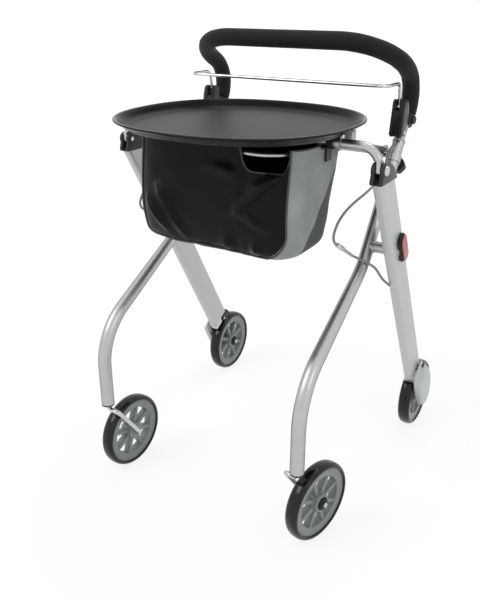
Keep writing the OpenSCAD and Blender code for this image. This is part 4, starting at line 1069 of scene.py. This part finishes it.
        down = [1 - 0.955 * k / 48 for k in range(49)]
        low = down[-1]
        right, left = seam(low, 1), seam(low, -1)
        track = [(seam(t, 1), t) for t in down]
        track += [(right + (left - right) * k / 60, low) for k in range(1, 60)]
        track += [(seam(t, -1), t) for t in reversed(down)]
        front_seam = [ring(t, edge(t))(turn) for turn, t in track]
        outer = [p + Vector((p.x, p.y - CLEVIS.y, 0)).normalized() * 1.2 * MM for p in front_seam]
        parts = [sweep(outer, 1.7 * MM, 10)]
        for turn in (rear_seam, math.pi - rear_seam):
            parts.append(sweep([ring(t, edge(t))(turn) for t in down], 1.4 * MM, 10))
        hem = [spot(2 * math.pi * k / 480, 1.0, 0.6 * MM) - mm(0, 0, 0.8) for k in range(481)]
        parts.append(sweep(hem, 1.5 * MM, 8))
        piece("bag_piping", join(*parts), "piping_cord", "tray_frame", "bag_fabric", solid=False)

        rod = Vector((0, CLEVIS.y - 92 * MM, CROSSBAR_Z - 11.9 * MM))
        sleeve = [rod + mm(x, 0, 0) for x in range(-102, 63, 6)]
        tube = sweep(sleeve, lambda p, t: (6.2 * MM + noise.noise(p * 70) * 0.6 * MM, 5.6 * MM), 20)
        lay_cloth(tube, lambda face, p: (p.x, p.z + p.y))
        piece("bag_sleeve", tube, "black_cloth", "tray_frame", "bag_fabric", solid=False)


# Cables and the small solids that keep their CAD shape

class WALKER_OT_cables(WalkerOperator, bpy.types.Operator):
    """Brake cables and their inline adjusters"""
    bl_idname = "walker.cables"
    bl_label = "Brake Cables"

    def build(self, size):
        foot, axes = LEVER.translation, LEVER.to_3x3()
        lever = (axes @ Vector((0, 0, 1))).normalized()
        back = (axes @ Vector((0, 1, 0))).normalized()
        top = foot - 0.5 * MM * lever - 5 * MM * back
        ride = [(-6, 82.5, 154), (-6, 64, 123.5), (-6, 33, 108), (-6, -15, 100), (-6, -65, 95),
                (-6, -103, 88), (-6, -131, 76), (-6, -145, 59), (-5, -142, 46), (-4, -133, 40)]
        upper = [top, top - 12 * MM * lever] + [PIVOT + mm(*p) for p in ride]
        leg_end = PIVOT - 63.8 * MM * LEG_DIR + 30.75 * MM * Vector((0, -LEG_DIR.z, LEG_DIR.y))
        drop = [(-4, -63, -1), (0, -46, -10), (9, -33, -19), (22, -18, -33)]
        lower = [PIVOT + mm(*p) for p in drop] + [leg_end + mm(32, -9, 14), leg_end + mm(44, 0, 0)]
        high, low = upper[-1], lower[0]
        along = (low - high).normalized()
        steps = [(0.2, 2.6), (0.6, 3.6), (1.6, 4.3), (6, 4.5), (6.6, 4), (7.4, 4), (8, 4.5), (27, 4.5),
                 (29.4, 4.2), (30, 3.2), (31, 3), (74, 3), (78, 2.8), (80.6, 2.4)]
        adjuster = [high + along * s * MM for s, _ in steps]
        widths = [r * MM for _, r in steps]
        turns = len(steps) - 1
        parts = []
        for side, sign in SIDES:
            mine = [[p if sign > 0 else p * FLIP for p in route] for route in (upper, lower, adjuster)]
            for part, route, body, fixed, led in (("upper", mine[0], "handle", -1, 0),
                                                  ("lower", mine[1], "rear_legs", 0, -1)):
                jacket = sweep(smooth_path(route), size.cable / 2, 12)
                piece(f"brake_cable_{part}_{side}", jacket, "cable_sleeve",
                      ("front_frame", body, route[fixed], route[led]), "cable_jacket")
            parts.append(sweep(mine[2], lambda p, t: widths[round(t * turns)], 20))
        piece("cable_adjusters", join(*parts), "zinc_plate", "front_frame", "zinc_steel")


class WALKER_OT_small_parts(WalkerOperator, bpy.types.Operator):
    """Finishes for the solids that keep their CAD shape"""
    bl_idname = "walker.small_parts"
    bl_label = "Small Parts"

    def build(self, size):
        dress("silver_paint", "handle_tube", "hook_pegs", "clamp_collars", "tray_rail_left", "tray_rail_right")
        dress("zinc_plate", "pivot_bolts", "pivot_sleeves", "axle_arm_left", "axle_arm_right", "axle_bolts")
        dress("black_moulding", "caster_bushes", "pivot_washers", "bag_clips")
        dress("pale_moulding", "tray_lugs", "tube_end_bushes")
        dress("rubber_tread", "brake_shoe_left", "brake_shoe_right")


# Floor, lights and camera

class WALKER_OT_stage(WalkerOperator, bpy.types.Operator):
    """Pale floor, soft studio light and the camera"""
    bl_idname = "walker.stage"
    bl_label = "Stage"

    def build(self, size):
        scene = bpy.context.scene
        stage = scene.walker_stage
        scene.view_settings.view_transform = "Standard"
        self.world(scene)
        self.floor(stage)
        self.lamp("key", (-1.5, -1.9, 2.5), (0, 0, 0.4), 1.6, 24)
        self.lamp("fill", (2.3, -0.9, 1.7), (0, 0, 0.4), 1.2, 5)
        self.lamp("top", (0.2, 0.9, 2.8), (0, 0, 0.5), 1.2, 10)
        camera = bpy.data.cameras.new("camera")
        camera.lens = stage.lens
        camera.shift_y = stage.shift
        camera.clip_end = 200
        scene.camera = placed(bpy.data.objects.new("camera", camera))
        scene.camera.location = stage.camera
        scene.camera.rotation_euler = (math.pi / 2 - stage.elevation, 0, stage.azimuth)

    def world(self, scene):
        scene.world = bpy.data.worlds.new("studio")
        n = Nodes(scene.world)
        split = n.add("SeparateXYZ", (n.add("TexCoord").outputs["Generated"], "Vector"))
        ramp = n.add("ValToRGB", (n.span(split.outputs["Z"], 0, 1, -1, 1), "Fac"))
        for element, place, level in zip(ramp.color_ramp.elements, (0.30, 0.95), (0.20, 0.52)):
            element.position = place
            element.color = (level, level, level, 1)
        dim, _, both = n.blend(n.seen(), (0, 0, 0), (1, 1, 1))
        n.link(ramp.outputs["Color"], dim)
        n.link(both, n.tree.nodes["Background"].inputs["Color"])

    def floor(self, stage):
        bm = bmesh.new()
        bmesh.ops.create_grid(bm, x_segments=2, y_segments=2, size=40)
        move(bm, shift(0, 0, -0.4))
        mesh = mesh_of("floor", bm)
        n = new_material("floor")
        n.tree.nodes.remove(n.shader)
        matt = n.add("BsdfDiffuse", Color=[*stage.floor, 1])
        dim = n.add("BsdfDiffuse", Color=[c * 0.25 for c in stage.floor] + [1])
        reach = n.add("VectorMath", (n.add("TexCoord").outputs["Object"], 0), operation="LENGTH")
        glow = n.add("Emission", (n.span(reach.outputs["Value"], 0.84, 1, 0.5, 3.5), "Strength"))
        both = n.add("AddShader", (dim.outputs[0], 0), (glow.outputs[0], 1))
        mix = n.add("MixShader", (n.seen(), "Fac"), (matt.outputs[0], 1), (both.outputs[0], 2))
        n.link(mix.outputs[0], n.tree.nodes["Material Output"].inputs["Surface"])
        mesh.materials.append(n.owner)
        placed(bpy.data.objects.new("floor", mesh))

    def lamp(self, name, place, target, size, power):
        light = bpy.data.lights.new(name, "AREA")
        light.shape = "DISK"
        light.size = size
        light.energy = power
        thing = placed(bpy.data.objects.new(name, light))
        thing.location = place
        thing.rotation_euler = (Vector(target) - Vector(place)).to_track_quat("-Z", "Y").to_euler()


OPERATORS = (WALKER_OT_stage, WALKER_OT_cables, WALKER_OT_front_tubes, WALKER_OT_casters, WALKER_OT_wheels,
             WALKER_OT_rear_legs, WALKER_OT_handle, WALKER_OT_brake_levers, WALKER_OT_tray,
             WALKER_OT_tray_frame, WALKER_OT_bag, WALKER_OT_small_parts)


class WALKER_PT_panel(bpy.types.Panel):
    """Lists the pieces of the walker"""
    bl_idname = "WALKER_PT_panel"
    bl_label = "Indoor Walker"
    bl_space_type = "VIEW_3D"
    bl_region_type = "UI"
    bl_category = "Walker"

    def draw(self, context):
        for operator in OPERATORS:
            self.layout.operator(operator.bl_idname)


GROUPS = {"walker_sizes": WalkerSizes, "walker_finishes": WalkerFinishes, "walker_stage": WalkerStage}
CLASSES = (*GROUPS.values(), *OPERATORS, WALKER_PT_panel)


def register():
    for each in CLASSES:
        bpy.utils.register_class(each)
    for name, group in GROUPS.items():
        setattr(bpy.types.Scene, name, bpy.props.PointerProperty(type=group))


def unregister():
    for name in GROUPS:
        delattr(bpy.types.Scene, name)
    for each in reversed(CLASSES):
        bpy.utils.unregister_class(each)


def main():
    register()
    for operator in OPERATORS:
        group, name = operator.bl_idname.split(".")
        getattr(getattr(bpy.ops, group), name)()


if __name__ == "__main__":
    main()
